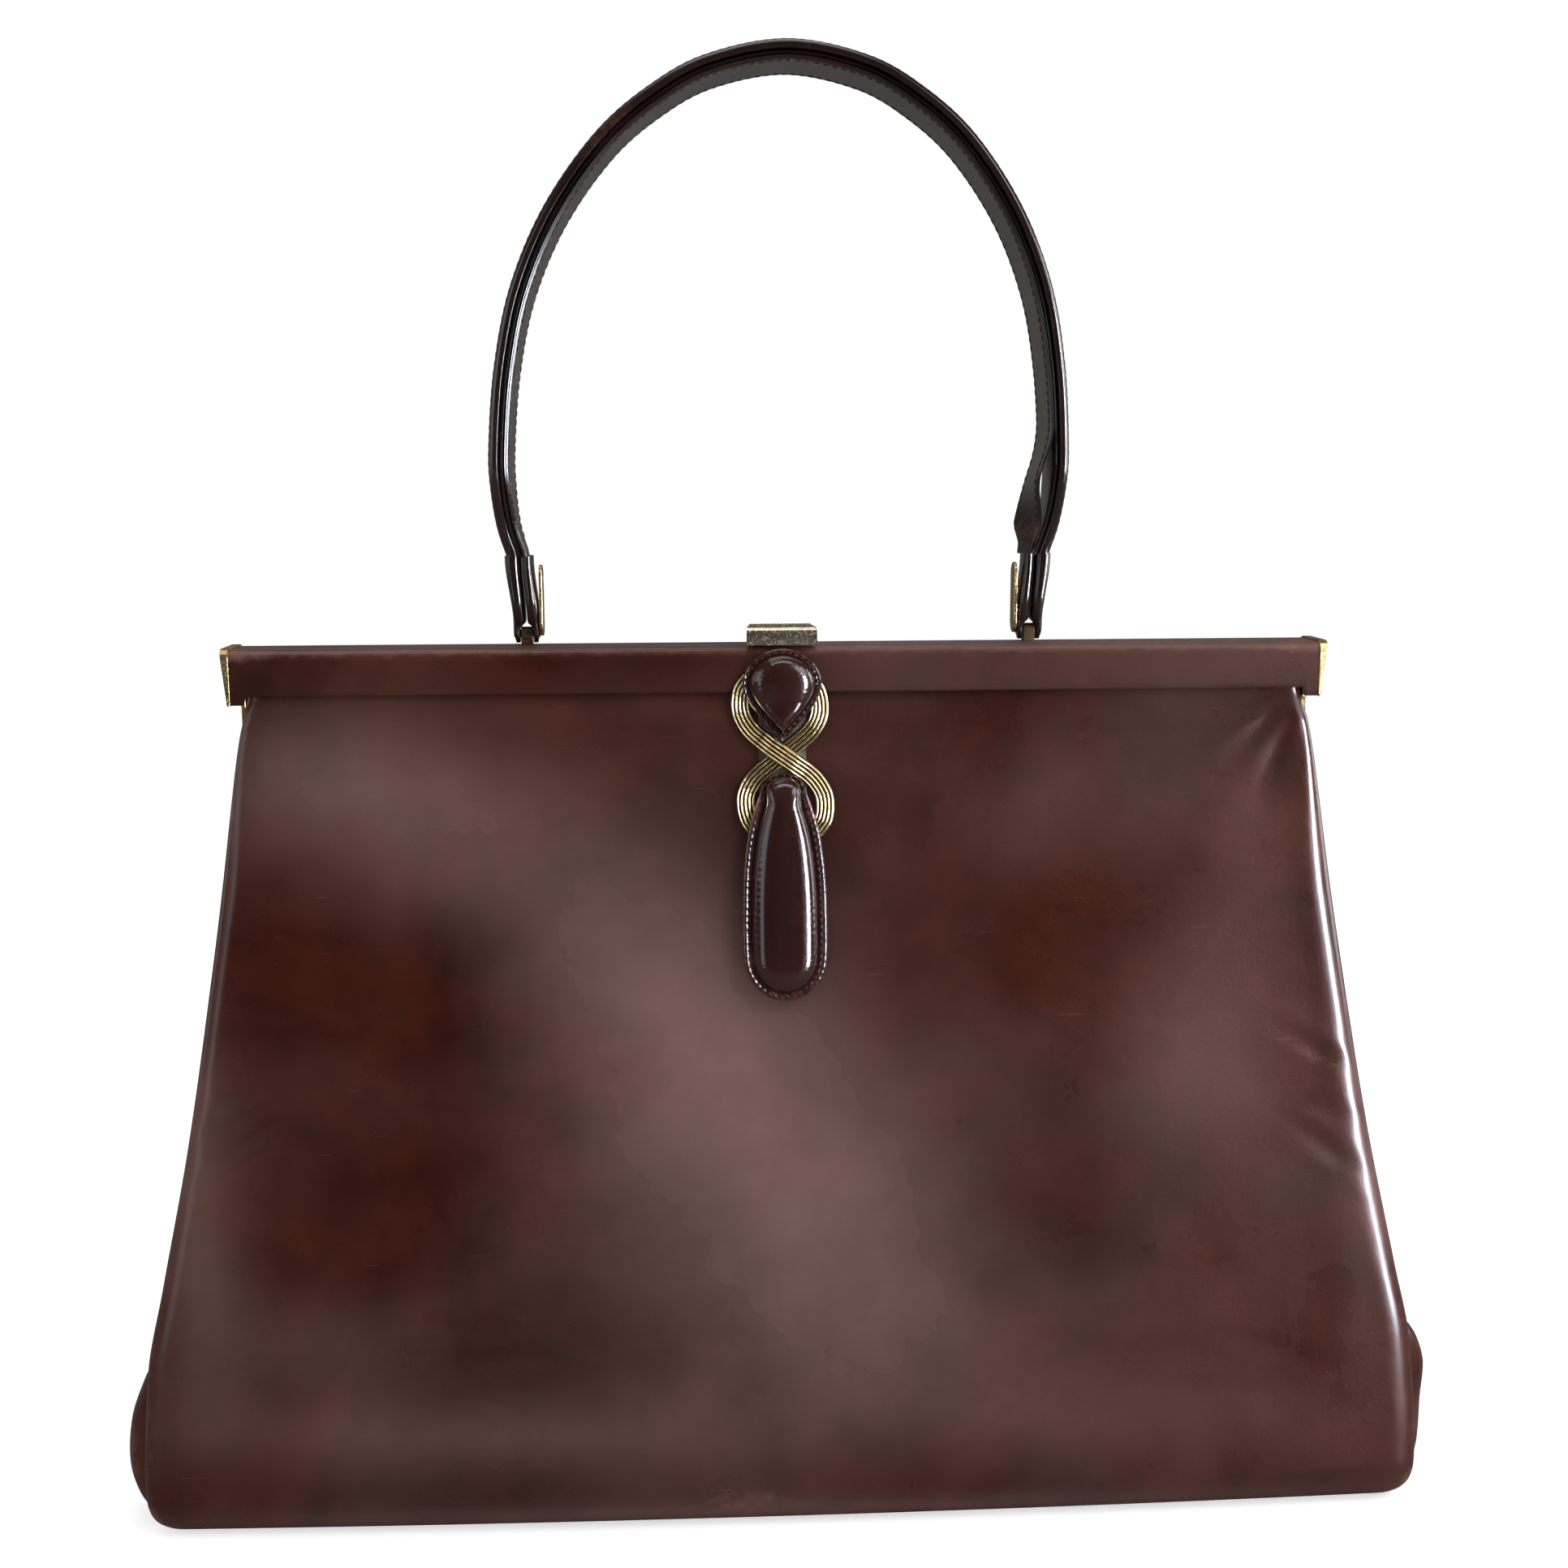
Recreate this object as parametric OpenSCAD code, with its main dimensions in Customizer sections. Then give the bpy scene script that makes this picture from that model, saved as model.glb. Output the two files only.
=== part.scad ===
// Ladies' frame handbag in polished calf: a soft body on two hinged jaws, with a lift catch,
// a figure-eight ornament and one swinging handle. Millimetres, +Z up, the front faces -Y, and
// the origin is the middle of the base. The bag is closed, with its handle upright.

/* [Body] */
// Width of the base, corner to corner
base_w = 334; // [300:1:370]
// Height from the floor to the top of the frame
bag_h = 228; // [200:1:250]
// Depth of the base, front to back
base_d = 88; // [70:1:100]
// Radius of the turn from the panels to the base
base_r = 10; // [6:1:16]
// Thickness of the hide
hide_t = 1.4; // [1:0.1:1.8]
// Thickness of the gussets
gusset_t = 1.2; // [0.8:0.1:1.4]
// Depth of the fold in each gusset
gusset_fold = 20; // [12:1:26]
// How far each gusset bulges past the panels at its foot
ear_out = 12; // [6:1:16]
// Height of that bulge
ear_h = 46; // [36:1:60]

/* [Lining] */
// Thickness of the stiffener boards
board_t = 1.5; // [1:0.1:2]
// Height of the boards' upper edge above the floor
board_top = 124; // [100:1:125]
// Thickness of the lining
lining_t = 0.8; // [0.5:0.1:1]
// Width of the slip pocket
pocket_w = 140; // [100:1:180]
// Height of the slip pocket
pocket_h = 66; // [50:1:75]
// Thickness of the pocket
pocket_t = 0.8; // [0.5:0.1:1]

/* [Frame] */
// Width of the frame over its end caps
frame_w = 290; // [260:1:300]
// Depth of each jaw's bar
bar_d = 8; // [7:0.5:10]
// Height of each jaw's bar
bar_h = 12; // [10:0.5:16]
// Wall of the bars
bar_wall = 0.8; // [0.6:0.1:1]
// Gap between the two closed jaws
jaw_gap = 0.4; // [0.2:0.1:0.8]
// Leather that covers the bars
cover_t = 0.9; // [0.6:0.1:1.2]
// Wall of the end caps
cap_wall = 0.4; // [0.3:0.1:0.6]
// Length of the end caps along the bar
cap_len = 2.2; // [2:0.1:4]
// Height of the hinge pins below the top of the frame
pin_drop = 88; // [80:1:96]
// Radius of the hinge pins
pin_r = 1.5; // [1:0.1:2]
// Thickness of the side arms
arm_t = 1.2; // [0.8:0.1:1.6]
// Radius of the eyes of the side arms
eye_r = 4.4; // [3.5:0.1:5.5]

/* [Catch] */
// Width of the catch at its front
catch_w = 18.6; // [16:0.2:24]
// Height of the catch over the frame
catch_h = 5.6; // [5:0.1:7]
// Number of ribs on the thumb face
catch_ribs = 18; // [10:1:24]
// Radius of the catch pin
catch_pin_r = 0.8; // [0.6:0.1:1]

/* [Ornament] */
// Height of the padded teardrop
drop_h = 24; // [20:1:27]
// Width of the padded teardrop
drop_w = 20.6; // [16:0.2:22]
// Length of the padded tab
tab_pad_h = 58.2; // [45:1:62]
// Width of the padded tab
tab_pad_w = 22; // [18:0.2:26]
// Width of the metal figure-eight over its loops
eight_w = 25.8; // [24:0.2:30]
// Width of the ribbed metal band
band_w = 5; // [4:0.1:5.6]
// Thickness of the band
band_t = 1.3; // [1:0.1:1.6]
// Number of ribs along the band
band_ribs = 5; // [3:1:6]
// Height that the pads stand proud of their rims
pad_proud = 3.8; // [2:0.1:5]

/* [Handle] */
// Width of the handle over its straps
handle_w = 151; // [130:1:165]
// Height of the handle over the frame
handle_h = 152; // [125:1:175]
// Width of the strap
strap_w = 20; // [16:0.5:24]
// Thickness of the rolled outer strap
outer_strap_t = 2.9; // [2:0.1:3.5]
// Thickness of the core between the straps
core_t = 1.4; // [1:0.1:1.6]
// Thickness of the inner strap
inner_strap_t = 1.1; // [0.8:0.1:1.5]
// Radius of the pins that the handle swings on
lug_pin_r = 1; // [0.8:0.1:1.2]
// Height of those pins over the frame
lug_h = 2.9; // [2.8:0.1:4]
// How far the aged inner strap gapes at the right end
strap_gape = 3; // [0:0.5:4]

/* [Hidden] */

$fn = 48;
overrun = 1;
fit = 0.1;
seat = 0.3;
running = 0.05;

calf = "#3a201d";
dark_calf = "#2a1715";
brass = "#c9a75a";
cloth = "#b39a78";
card = "#a58d6a";

// Levels and places that several pieces share
seam_z = bag_h - bar_h;
pin_z = bag_h - pin_drop;
bar_in = jaw_gap / 2;
bar_out = bar_in + bar_d;
channel_out = bar_out - cover_t;
channel_top = bag_h - cover_t;
hollow_in = bar_in + bar_wall;
hollow_out = channel_out - bar_wall;
hollow_top = channel_top - bar_wall;
cap_slant = 1.5;
cap_room = 0.2;
corner_drop = 2.4;
bar_end = frame_w / 2 - cap_slant - cap_wall - cap_room;
tuck = 5;
hide_top_y = hollow_out - fit;
shoulder_drop = 10;
shoulder_out = 3;
shoulder_y = hide_top_y + shoulder_out;
shoulder_z = seam_z - shoulder_drop;
panel_inset = 6.7;

// Outline of the wrapped hide, front to back: a turn at the base, a straight lean and a shoulder
turn_y = base_d / 2 - base_r;
turn_z = base_r;
to_shoulder = [shoulder_y - turn_y, shoulder_z - turn_z];
lean = atan2(to_shoulder[1], to_shoulder[0]) - acos(base_r / norm(to_shoulder));
lean_slope = tan(lean);
turn_top = [turn_y + base_r * cos(lean), turn_z + base_r * sin(lean)];
turn_steps = 8;
lean_steps = 10;
shoulder_steps = 4;

function ease(t) = t * t * (3 - 2 * t);
function clamp(t) = max(0, min(1, t));
function mix(a, b, t) = a + (b - a) * t;

// Half outline of the hide's outer face as [depth, height], from the middle of the base upwards
half_outline = concat(
    [for (i = [0 : 2]) [turn_y * i / 3, 0]],
    [for (i = [0 : turn_steps]) let (a = mix(-90, lean, i / turn_steps))
        [turn_y + base_r * cos(a), turn_z + base_r * sin(a)]],
    [for (i = [1 : lean_steps]) mix(turn_top, [shoulder_y, shoulder_z], i / lean_steps)],
    [for (i = [1 : shoulder_steps]) let (t = i / shoulder_steps)
        [mix(shoulder_y, hide_top_y, ease(t)), mix(shoulder_z, seam_z, t)]],
    [[hide_top_y, seam_z + tuck]]);
half_count = len(half_outline);

// The same outline set inwards by a depth, square to the leather
function outline_normal(i) = let (
    a = half_outline[max(i - 1, 0)],
    b = half_outline[min(i + 1, half_count - 1)],
    d = (b - a) / norm(b - a)) [-d[1], d[0]];
function inset_outline(depth) = [for (i = [0 : half_count - 1])
    half_outline[i] + depth * (i == 0 ? [0, 1] : outline_normal(i))];

// Depth of the hide's outer face at a height above the base
function outline_y(z) = lookup(z, [for (p = half_outline) if (p[1] > 0) [p[1], p[0]]]);

// Half width of the panels at a height: how far the sides have flared from the frame's width
panel_flare_shares = [[0, 0.955], [0.09, 1], [0.2, 0.966], [0.3, 0.828], [0.47, 0.586],
    [0.68, 0.352], [0.87, 0.162], [0.935, 0.093], [1, 0]];
panel_top_half = frame_w / 2 - panel_inset;
function panel_half(z) = mix(panel_top_half, base_w / 2, lookup(z / seam_z, panel_flare_shares));

// Closed solid through a list of rings, whose points run counter-clockwise seen from its far end
module rings_solid(rings, start_tip = undef, end_tip = undef) {
    n = len(rings[0]);
    m = len(rings);
    tips = concat(is_undef(start_tip) ? [] : [start_tip], is_undef(end_tip) ? [] : [end_tip]);
    start_id = n * m;
    end_id = start_id + (is_undef(start_tip) ? 0 : 1);
    sides = [for (i = [0 : m - 2], j = [0 : n - 1]) let (
        a = i * n + j, b = i * n + (j + 1) % n, c = a + n, d = b + n)
        each [[a, c, d], [a, d, b]]];
    start_cap = is_undef(start_tip) ? [[for (j = [0 : n - 1]) j]]
        : [for (j = [0 : n - 1]) [j, (j + 1) % n, start_id]];
    end_cap = is_undef(end_tip) ? [[for (j = [n - 1 : -1 : 0]) (m - 1) * n + j]]
        : [for (j = [0 : n - 1]) [(m - 1) * n + (j + 1) % n, (m - 1) * n + j, end_id]];
    polyhedron(points = concat([for (r = rings) each r], tips),
        faces = concat(sides, start_cap, end_cap), convexity = 10);
}

// Sheet that follows the wrapped outline, between two depths below the hide's outer face. Its
// sides lie inside the panels' by one distance at the base and another at the frame
module wrapped_sheet(depth, thick, low_edge_in, high_edge_in) {
    outer = inset_outline(depth);
    inner = inset_outline(depth + thick);
    last = half_count - 1;
    order = concat([for (i = [last : -1 : 1]) [-1, i]], [for (i = [0 : last]) [1, i]]);
    rings_solid([for (o = order) let (
        p = outer[o[1]],
        q = inner[o[1]],
        z = half_outline[o[1]][1],
        w = panel_half(z) - mix(low_edge_in, high_edge_in, clamp(z / seam_z)))
        [[-w, o[0] * p[0], p[1]], [-w, o[0] * q[0], q[1]], [w, o[0] * q[0], q[1]],
         [w, o[0] * p[0], p[1]]]]);
}

module outer_hide() color(calf) wrapped_sheet(0, hide_t, 0, 0);

// Lining follows the hide inside the boards
lining_depth = hide_t + board_t + 2 * fit;
lining_low_edge_in = 12;
lining_high_edge_in = 25;
module main_lining() color(cloth)
    wrapped_sheet(lining_depth, lining_t, lining_low_edge_in, lining_high_edge_in);

// Gussets: a fold inwards above, two lobes that swell into ears at the foot
seam_in = 2;
foot_seam_shares = [[0, -0.75], [0.2, -0.75], [0.36, 1], [1, 1]];
fold_shares = [[0, 0], [0.2, 0], [0.3, 0.3], [0.47, 0.8], [0.65, 1], [1, 0.85]];
ear_shares = [[0, 0.5], [0.04, 0.72], [0.1, 0.88], [0.2, 0.98], [0.3, 1], [0.5, 0.9], [0.75, 0.5],
    [0.9, 0.15], [1, 0]];
lobe_shares = [[0, 0.05], [0.15, 0.14], [0.29, 0.36], [0.43, 0.68], [0.57, 0.96], [0.72, 0.86],
    [0.86, 0.1], [1, 0]];
gusset_level_shares = [0, 0.04, 0.1, 0.2, 0.3, 0.42, 0.55, 0.68, 0.8, 0.9, 1];
fold_power = 1.15;
slope_share = 0.02;
gusset_steps = 7;
gusset_inset = hide_t + gusset_t + seat;

function gusset_x(u, z) = panel_half(z)
    - seam_in * lookup(z / ear_h, foot_seam_shares)
    - gusset_fold * lookup(z / seam_z, fold_shares) * pow(1 - abs(u), fold_power)
    + ear_out * lookup(z / ear_h, ear_shares) * lookup(abs(u), lobe_shares);
function gusset_reach(z, inset) = outline_y(max(z, hide_t)) - inset;
function gusset_y(u, z) = u * gusset_reach(z, gusset_inset);
function gusset_point(u, z, depth) = let (
    a = [gusset_x(max(u - slope_share, -1), z), gusset_y(max(u - slope_share, -1), z)],
    b = [gusset_x(min(u + slope_share, 1), z), gusset_y(min(u + slope_share, 1), z)],
    d = (b - a) / norm(b - a))
    [gusset_x(u, z) - depth * d[1], gusset_y(u, z) + depth * d[0], z];

// Sheet that follows the gusset at a depth, and stops short of the panels by an inset
module gusset_sheet(low, high, inset, depth, thick, steps) {
    ear_levels = [for (s = gusset_level_shares) if (s * ear_h >= low) s * ear_h];
    upper_count = 7;
    levels = concat(ear_levels[0] > low ? [low] : [], ear_levels,
        [for (i = [1 : upper_count]) mix(ear_h, high, i / upper_count)]);
    rings_solid([for (z = levels) let (
        share = gusset_reach(z, inset) / gusset_reach(z, gusset_inset)) concat(
        [for (i = [-steps : steps]) gusset_point(share * i / steps, z, depth)],
        [for (i = [steps : -1 : -steps]) gusset_point(share * i / steps, z, depth + thick)])]);
}

gusset_top = seam_z - fit;
module right_gusset() color(calf)
    gusset_sheet(0, gusset_top, gusset_inset, 0, gusset_t, gusset_steps);
module left_gusset() mirror([1, 0, 0]) right_gusset();

gusset_lining_room = 1.5;
gusset_lining_depth = gusset_t + gusset_lining_room;
gusset_lining_inset = lining_depth + lining_t + gusset_lining_depth + lining_t + seat;
gusset_lining_foot = gusset_level_shares[2] * ear_h;
gusset_lining_drop = 26;
gusset_lining_steps = gusset_steps;
module right_gusset_lining() color(cloth) gusset_sheet(gusset_lining_foot,
    seam_z - gusset_lining_drop, gusset_lining_inset, gusset_lining_depth, lining_t,
    gusset_lining_steps);
module left_gusset_lining() mirror([1, 0, 0]) right_gusset_lining();

// Stiffener boards lie flat between hide and lining
board_up = 8;
board_foot = base_r + board_up;
board_edge_in = 12;
module leaning_board(low, high, depth, thick, low_half, high_half) {
    reach = (high - low) / cos(lean);
    translate([0, -outline_y(low), low]) rotate([90 - lean, 0, 0])
        translate([0, 0, -depth - thick]) linear_extrude(thick)
            polygon([[-low_half, 0], [low_half, 0], [high_half, reach], [-high_half, reach]]);
}
module front_board() color(card) leaning_board(board_foot, board_top, hide_t + fit,
    board_t, panel_half(board_foot) - board_edge_in, panel_half(board_top) - board_edge_in);
module back_board() rotate([0, 0, 180]) front_board();
module base_board() color(card) {
    half = panel_half(0) - board_edge_in;
    translate([-half, -turn_y, hide_t + fit]) cube([2 * half, 2 * turn_y, board_t]);
}

// Slip pocket on the back lining, with a binding along its mouth
pocket_foot = 40;
binding_t = 1.4;
binding_h = 6;
pocket_depth = lining_depth + lining_t + fit;
module slip_pocket() color(cloth) rotate([0, 0, 180]) leaning_board(pocket_foot,
    pocket_foot + pocket_h, pocket_depth, pocket_t, pocket_w / 2, pocket_w / 2);
module pocket_binding() color(calf) rotate([0, 0, 180]) leaning_board(
    pocket_foot + pocket_h + fit, pocket_foot + pocket_h + fit + binding_h, pocket_depth,
    binding_t, pocket_w / 2, pocket_w / 2);

// Hinge: the back arm lies outside the front arm on each pin
arm_gap = 0.4;
arm_room = 0.7;
arm_out = bar_end - arm_room;
back_arm_x = arm_out - arm_t;
front_arm_x = back_arm_x - arm_gap - arm_t;
pin_head_r = 2.6;
pin_head_t = 0.8;
pin_end = 0.6;
arm_top = hollow_top - fit;
arm_in = bar_in + seat;
arm_wide = hollow_out - 2 * seat;
arm_neck_up = 18;
arm_cross_up = 12;
neck_share = 0.72;
neck_up_share = 0.5;
neck_y = eye_r * neck_share;
neck_z = pin_z + eye_r * neck_up_share;

// A profile drawn as [depth, height] becomes a solid between two places across the bag
module across(x, thick) translate([x, 0, 0]) rotate([90, 0, 90]) linear_extrude(thick) children();

module back_arm_at(x) color(brass) difference() {
    union() {
        across(x, arm_t) polygon([[arm_in, seam_z], [hollow_in + fit, seam_z],
            [hollow_in + fit, arm_top], [arm_wide, arm_top], [arm_wide, pin_z + arm_neck_up],
            [neck_y, neck_z], [-neck_y, neck_z], [arm_in, pin_z + arm_cross_up]]);
        translate([x, 0, pin_z]) rotate([0, 90, 0]) cylinder(h = arm_t, r = eye_r);
    }
    translate([x - overrun, 0, pin_z]) rotate([0, 90, 0])
        cylinder(h = arm_t + 2 * overrun, r = pin_r + running);
}
module back_right_arm() back_arm_at(back_arm_x);
module back_left_arm() mirror([1, 0, 0]) back_arm_at(back_arm_x);
module front_right_arm() mirror([0, 1, 0]) back_arm_at(front_arm_x);
module front_left_arm() mirror([1, 0, 0]) front_right_arm();

module right_hinge_pin() color(brass) translate([front_arm_x - pin_end, 0, pin_z])
    rotate([0, 90, 0]) {
        cylinder(h = arm_out - front_arm_x + pin_end + fit, r = pin_r);
        translate([0, 0, arm_out - front_arm_x + pin_end + fit])
            cylinder(h = pin_head_t, r = pin_head_r);
    }
module left_hinge_pin() mirror([1, 0, 0]) right_hinge_pin();

// Bars: channels open downwards, which hold the top edges of hide and lining
cover_r = 2.2;
lug_inset = 8.5;
lug_x = handle_w / 2 - lug_inset;
lug_y = bar_in + bar_d / 2;
lug_t = 3;
lug_eye_r = 1.8;
lug_foot_w = 6;
lug_foot_t = 0.7;
module bar_profile() difference() {
    translate([bar_in, seam_z]) square([channel_out - bar_in, channel_top - seam_z]);
    translate([hollow_in, seam_z - overrun])
        square([hollow_out - hollow_in, hollow_top - seam_z + overrun]);
}
module lug_slots() for (side = [-1, 1])
    translate([side * lug_x - lug_t / 2 - fit, lug_y - lug_eye_r - fit, hollow_top - overrun])
        cube([lug_t + 2 * fit, 2 * (lug_eye_r + fit), bar_wall + cover_t + 2 * overrun]);
module back_bar() color(brass) difference() {
    across(-bar_end, 2 * bar_end) bar_profile();
    lug_slots();
}
module front_bar() color(brass) mirror([0, 1, 0]) across(-bar_end, 2 * bar_end) bar_profile();

// Leather band over the front and the top of a bar
function rounded_band(out, top, low, in, r) = concat([[in, top]],
    [for (i = [0 : 6]) let (a = 90 - 15 * i) [out - r + r * cos(a), top - r + r * sin(a)]],
    [[out, low]]);
module cover_profile() difference() {
    polygon(concat([[bar_in, seam_z]], rounded_band(bar_out, bag_h, seam_z, bar_in, cover_r)));
    translate([bar_in - overrun, seam_z - overrun])
        square([channel_out - bar_in + overrun, channel_top - seam_z + overrun]);
}
corner_w = 3.4;
module covered_band() {
    across(-bar_end, 2 * bar_end) cover_profile();
    for (x = [-bar_end, bar_end - corner_w]) translate([x, channel_out, seam_z - corner_drop])
        cube([corner_w, cover_t, corner_drop + cover_t]);
}
module back_bar_cover() color(calf) difference() {
    covered_band();
    lug_slots();
}
module front_bar_cover() color(calf) mirror([0, 1, 0]) covered_band();

// End caps: thin brass shells over the ends, whose outer walls slant in downwards
module back_right_cap() color(brass) {
    out = bar_out + fit / 2 + cap_wall;
    top = bag_h + fit / 2 + cap_wall;
    low = seam_z - corner_drop;
    difference() {
        across(frame_w / 2 - cap_len, cap_len)
            polygon(concat([[bar_in, low]],
                rounded_band(out, top, low, bar_in, cover_r + cap_wall)));
        across(frame_w / 2 - cap_len - overrun, bar_end - frame_w / 2 + cap_len + overrun + fit)
            polygon(concat([[bar_in - overrun, low - overrun]],
                rounded_band(out - cap_wall, top - cap_wall, low - overrun,
                    bar_in - overrun, cover_r)));
        translate([0, bar_in - overrun, 0]) rotate([90, 0, 0]) mirror([0, 0, 1])
            linear_extrude(bar_d + 2 * overrun + cap_wall) polygon([
                [frame_w / 2, top], [frame_w / 2 - cap_slant, low - overrun],
                [frame_w / 2 + overrun, low - overrun],
                [frame_w / 2 + overrun, top]]);
    }
}
module back_left_cap() mirror([1, 0, 0]) back_right_cap();
module front_right_cap() mirror([0, 1, 0]) back_right_cap();
module front_left_cap() mirror([1, 0, 0]) front_right_cap();

// Catch: a hollow hood on a pin at the back bar, which reaches over the front bar
catch_base_t = 0.6;
catch_pin_in = 3.2;
catch_pin_up = 2.6;
catch_pin_y = bar_out - catch_pin_in;
catch_pin_z = bag_h + catch_pin_up;
catch_reach = 2.2;
catch_nose = bar_out + catch_reach;
catch_lip = 0.3;
catch_wall = 0.8;
catch_tail_r = 2.3;
catch_taper = 1.6;
catch_nose_r = 1.4;
tail_top_angle = 75;
tail_open_angle = 15;
strike_t = 0.3;
rib_h = 0.45;
catch_low = bag_h + strike_t + catch_lip;
catch_top = bag_h + catch_h - rib_h;
catch_half = catch_w / 2;

// The hood from the side: its outline, and the hollow between its cheeks, open below and behind
function tail_point(a, r) = [catch_pin_y + r * cos(a), catch_pin_z + r * sin(a)];
function nose_arc(w) = [for (i = [0 : 6]) let (a = 180 - 15 * i, r = catch_nose_r)
    [-catch_nose + w + r + r * cos(a), catch_top - w - r + r * sin(a)]];
hood_outline = concat([[-catch_nose, catch_low]], nose_arc(0),
    [for (i = [0 : 8]) tail_point(tail_top_angle - 20 * i, catch_tail_r)],
    [[catch_pin_y - catch_tail_r, catch_low]]);
hood_hollow = concat([[-catch_nose + catch_wall, catch_low - overrun]], nose_arc(catch_wall),
    [for (i = [0 : 3]) tail_point(mix(tail_top_angle, tail_open_angle, i / 3),
        catch_tail_r - catch_wall)],
    [tail_point(tail_open_angle, catch_tail_r + overrun),
     [catch_pin_y + catch_tail_r + overrun, catch_low - overrun]]);

// Roof ribs, side by side, that the thumb pushes on
rib_margin = 1;
rib_start = 2.6;
rib_root = 0.25;
rib_field = catch_w - 2 * rib_margin;
rib_pitch = rib_field / catch_ribs;
rib_front = -catch_nose + rib_start;
rib_back = -1;
module roof_ribs() translate([0, rib_back, 0]) rotate([90, 0, 0])
    linear_extrude(rib_back - rib_front)
        polygon(concat([[-rib_field / 2, catch_top - catch_wall / 2]],
            [for (i = [0 : catch_ribs - 1]) let (x = -rib_field / 2 + i * rib_pitch)
                each [[x, catch_top - rib_root], [x + rib_pitch / 2, catch_top + rib_h]]],
            [[rib_field / 2, catch_top - rib_root], [rib_field / 2, catch_top - catch_wall / 2]]));

// The hood narrows towards its tail
module hood_plan(half, w) translate([0, 0, catch_low - 2 * overrun])
    linear_extrude(catch_h + 4 * overrun) polygon([
        [-half + w, -catch_nose - overrun], [half - w, -catch_nose - overrun],
        [half - catch_taper - w, catch_pin_y + catch_tail_r + overrun],
        [-half + catch_taper + w, catch_pin_y + catch_tail_r + overrun]]);

module thumb_catch() color(brass) {
    difference() {
        intersection() {
            across(-catch_half, catch_w) polygon(hood_outline);
            hood_plan(catch_half, 0);
        }
        intersection() {
            across(-catch_half, catch_w) polygon(hood_hollow);
            hood_plan(catch_half, catch_wall);
        }
        translate([-catch_half, catch_pin_y, catch_pin_z]) rotate([0, 90, 0])
            cylinder(h = catch_w, r = catch_pin_r + running);
    }
    roof_ribs();
}

cheek_gap = 0.5;
plate_lug_t = 1;
plate_lug_x = catch_half - catch_taper - catch_wall - cheek_gap - plate_lug_t;
plate_front = 2;
ring_share = 1.45;
ring_r = catch_pin_r * ring_share;
module catch_plate() color(brass) difference() {
    union() {
        translate([-plate_lug_x - plate_lug_t, plate_front, bag_h])
            cube([2 * (plate_lug_x + plate_lug_t), catch_pin_y + ring_r - plate_front,
                catch_base_t]);
        for (x = [-plate_lug_x - plate_lug_t, plate_lug_x]) across(x, plate_lug_t) {
            translate([catch_pin_y - ring_r, bag_h]) square([2 * ring_r, catch_pin_up]);
            translate([catch_pin_y, catch_pin_z]) circle(ring_r);
        }
    }
    translate([-catch_half, catch_pin_y, catch_pin_z]) rotate([0, 90, 0])
        cylinder(h = catch_w, r = catch_pin_r + running);
}
catch_pin_half = catch_half - catch_taper;
module catch_pin() color(brass) translate([-catch_pin_half, catch_pin_y, catch_pin_z])
    rotate([0, 90, 0]) cylinder(h = 2 * catch_pin_half, r = catch_pin_r);

// Torsion spring round the catch pin
spring_wire = 0.4;
spring_turns = 7;
spring_r = catch_pin_r + spring_wire / 2 + fit;
spring_pitch = 0.8;
spring_sides = 6;
spring_steps = 10;
module catch_spring() color("silver") {
    count = spring_turns * spring_steps;
    half = spring_turns * spring_pitch / 2;
    rings_solid([for (i = [0 : count]) let (
        a = 360 * i / spring_steps,
        out = [0, cos(a), sin(a)])
        [for (k = [0 : spring_sides - 1]) let (
            b = 360 * k / spring_sides,
            r = spring_r + spring_wire / 2 * cos(b))
            [mix(-half, half, i / count) + spring_wire / 2 * sin(b), catch_pin_y, catch_pin_z]
                + r * out]]);
}

strike_half = 6;
strike_front = bar_out - cover_r;
module strike_plate() color(brass) translate([-strike_half, -strike_front, bag_h])
    cube([2 * strike_half, strike_front - bar_in - seat, strike_t]);

// Ornament: everything lies in front of a metal strip that bends to follow the panel
strip_t = 0.7;
strip_half = 6.2;
strip_down = 6;
strip_h = 70;
strip_top = bag_h - strip_down;
strip_foot = strip_top - strip_h;
ornament_back = bar_out + fit;
ornament_bend = shoulder_z + (shoulder_y + seat - ornament_back) / lean_slope;
function back_y(z) = ornament_back + max(0, (ornament_bend - z) * lean_slope);
module ornament_strip() color(brass) across(-strip_half, 2 * strip_half) polygon([
    [-back_y(strip_top), strip_top], [-back_y(ornament_bend), ornament_bend],
    [-back_y(strip_foot), strip_foot], [-back_y(strip_foot) - strip_t, strip_foot],
    [-back_y(ornament_bend) - strip_t, ornament_bend], [-back_y(strip_top) - strip_t, strip_top]]);

// Pads: a flat stitched rim and a dome, over an outline given as shares from its top
pad_back = strip_t + band_t + 2 * fit;
rim_t = 1.1;
drop_shares = [[0, 0], [0.03, 0.36], [0.09, 0.62], [0.17, 0.82], [0.28, 0.96], [0.38, 1],
    [0.5, 0.95], [0.62, 0.8], [0.74, 0.58], [0.86, 0.33], [0.95, 0.13], [1, 0]];
tab_shares = [[0, 0], [0.015, 0.3], [0.05, 0.48], [0.11, 0.6], [0.2, 0.76], [0.3, 0.88],
    [0.45, 0.97], [0.6, 1], [0.75, 1], [0.84, 0.97], [0.9, 0.86], [0.95, 0.66], [0.985, 0.38],
    [1, 0]];
pad_level_shares = [[1, 0], [0.8, 0], [0.75, 0.42], [0.62, 0.76], [0.38, 0.95]];

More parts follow.
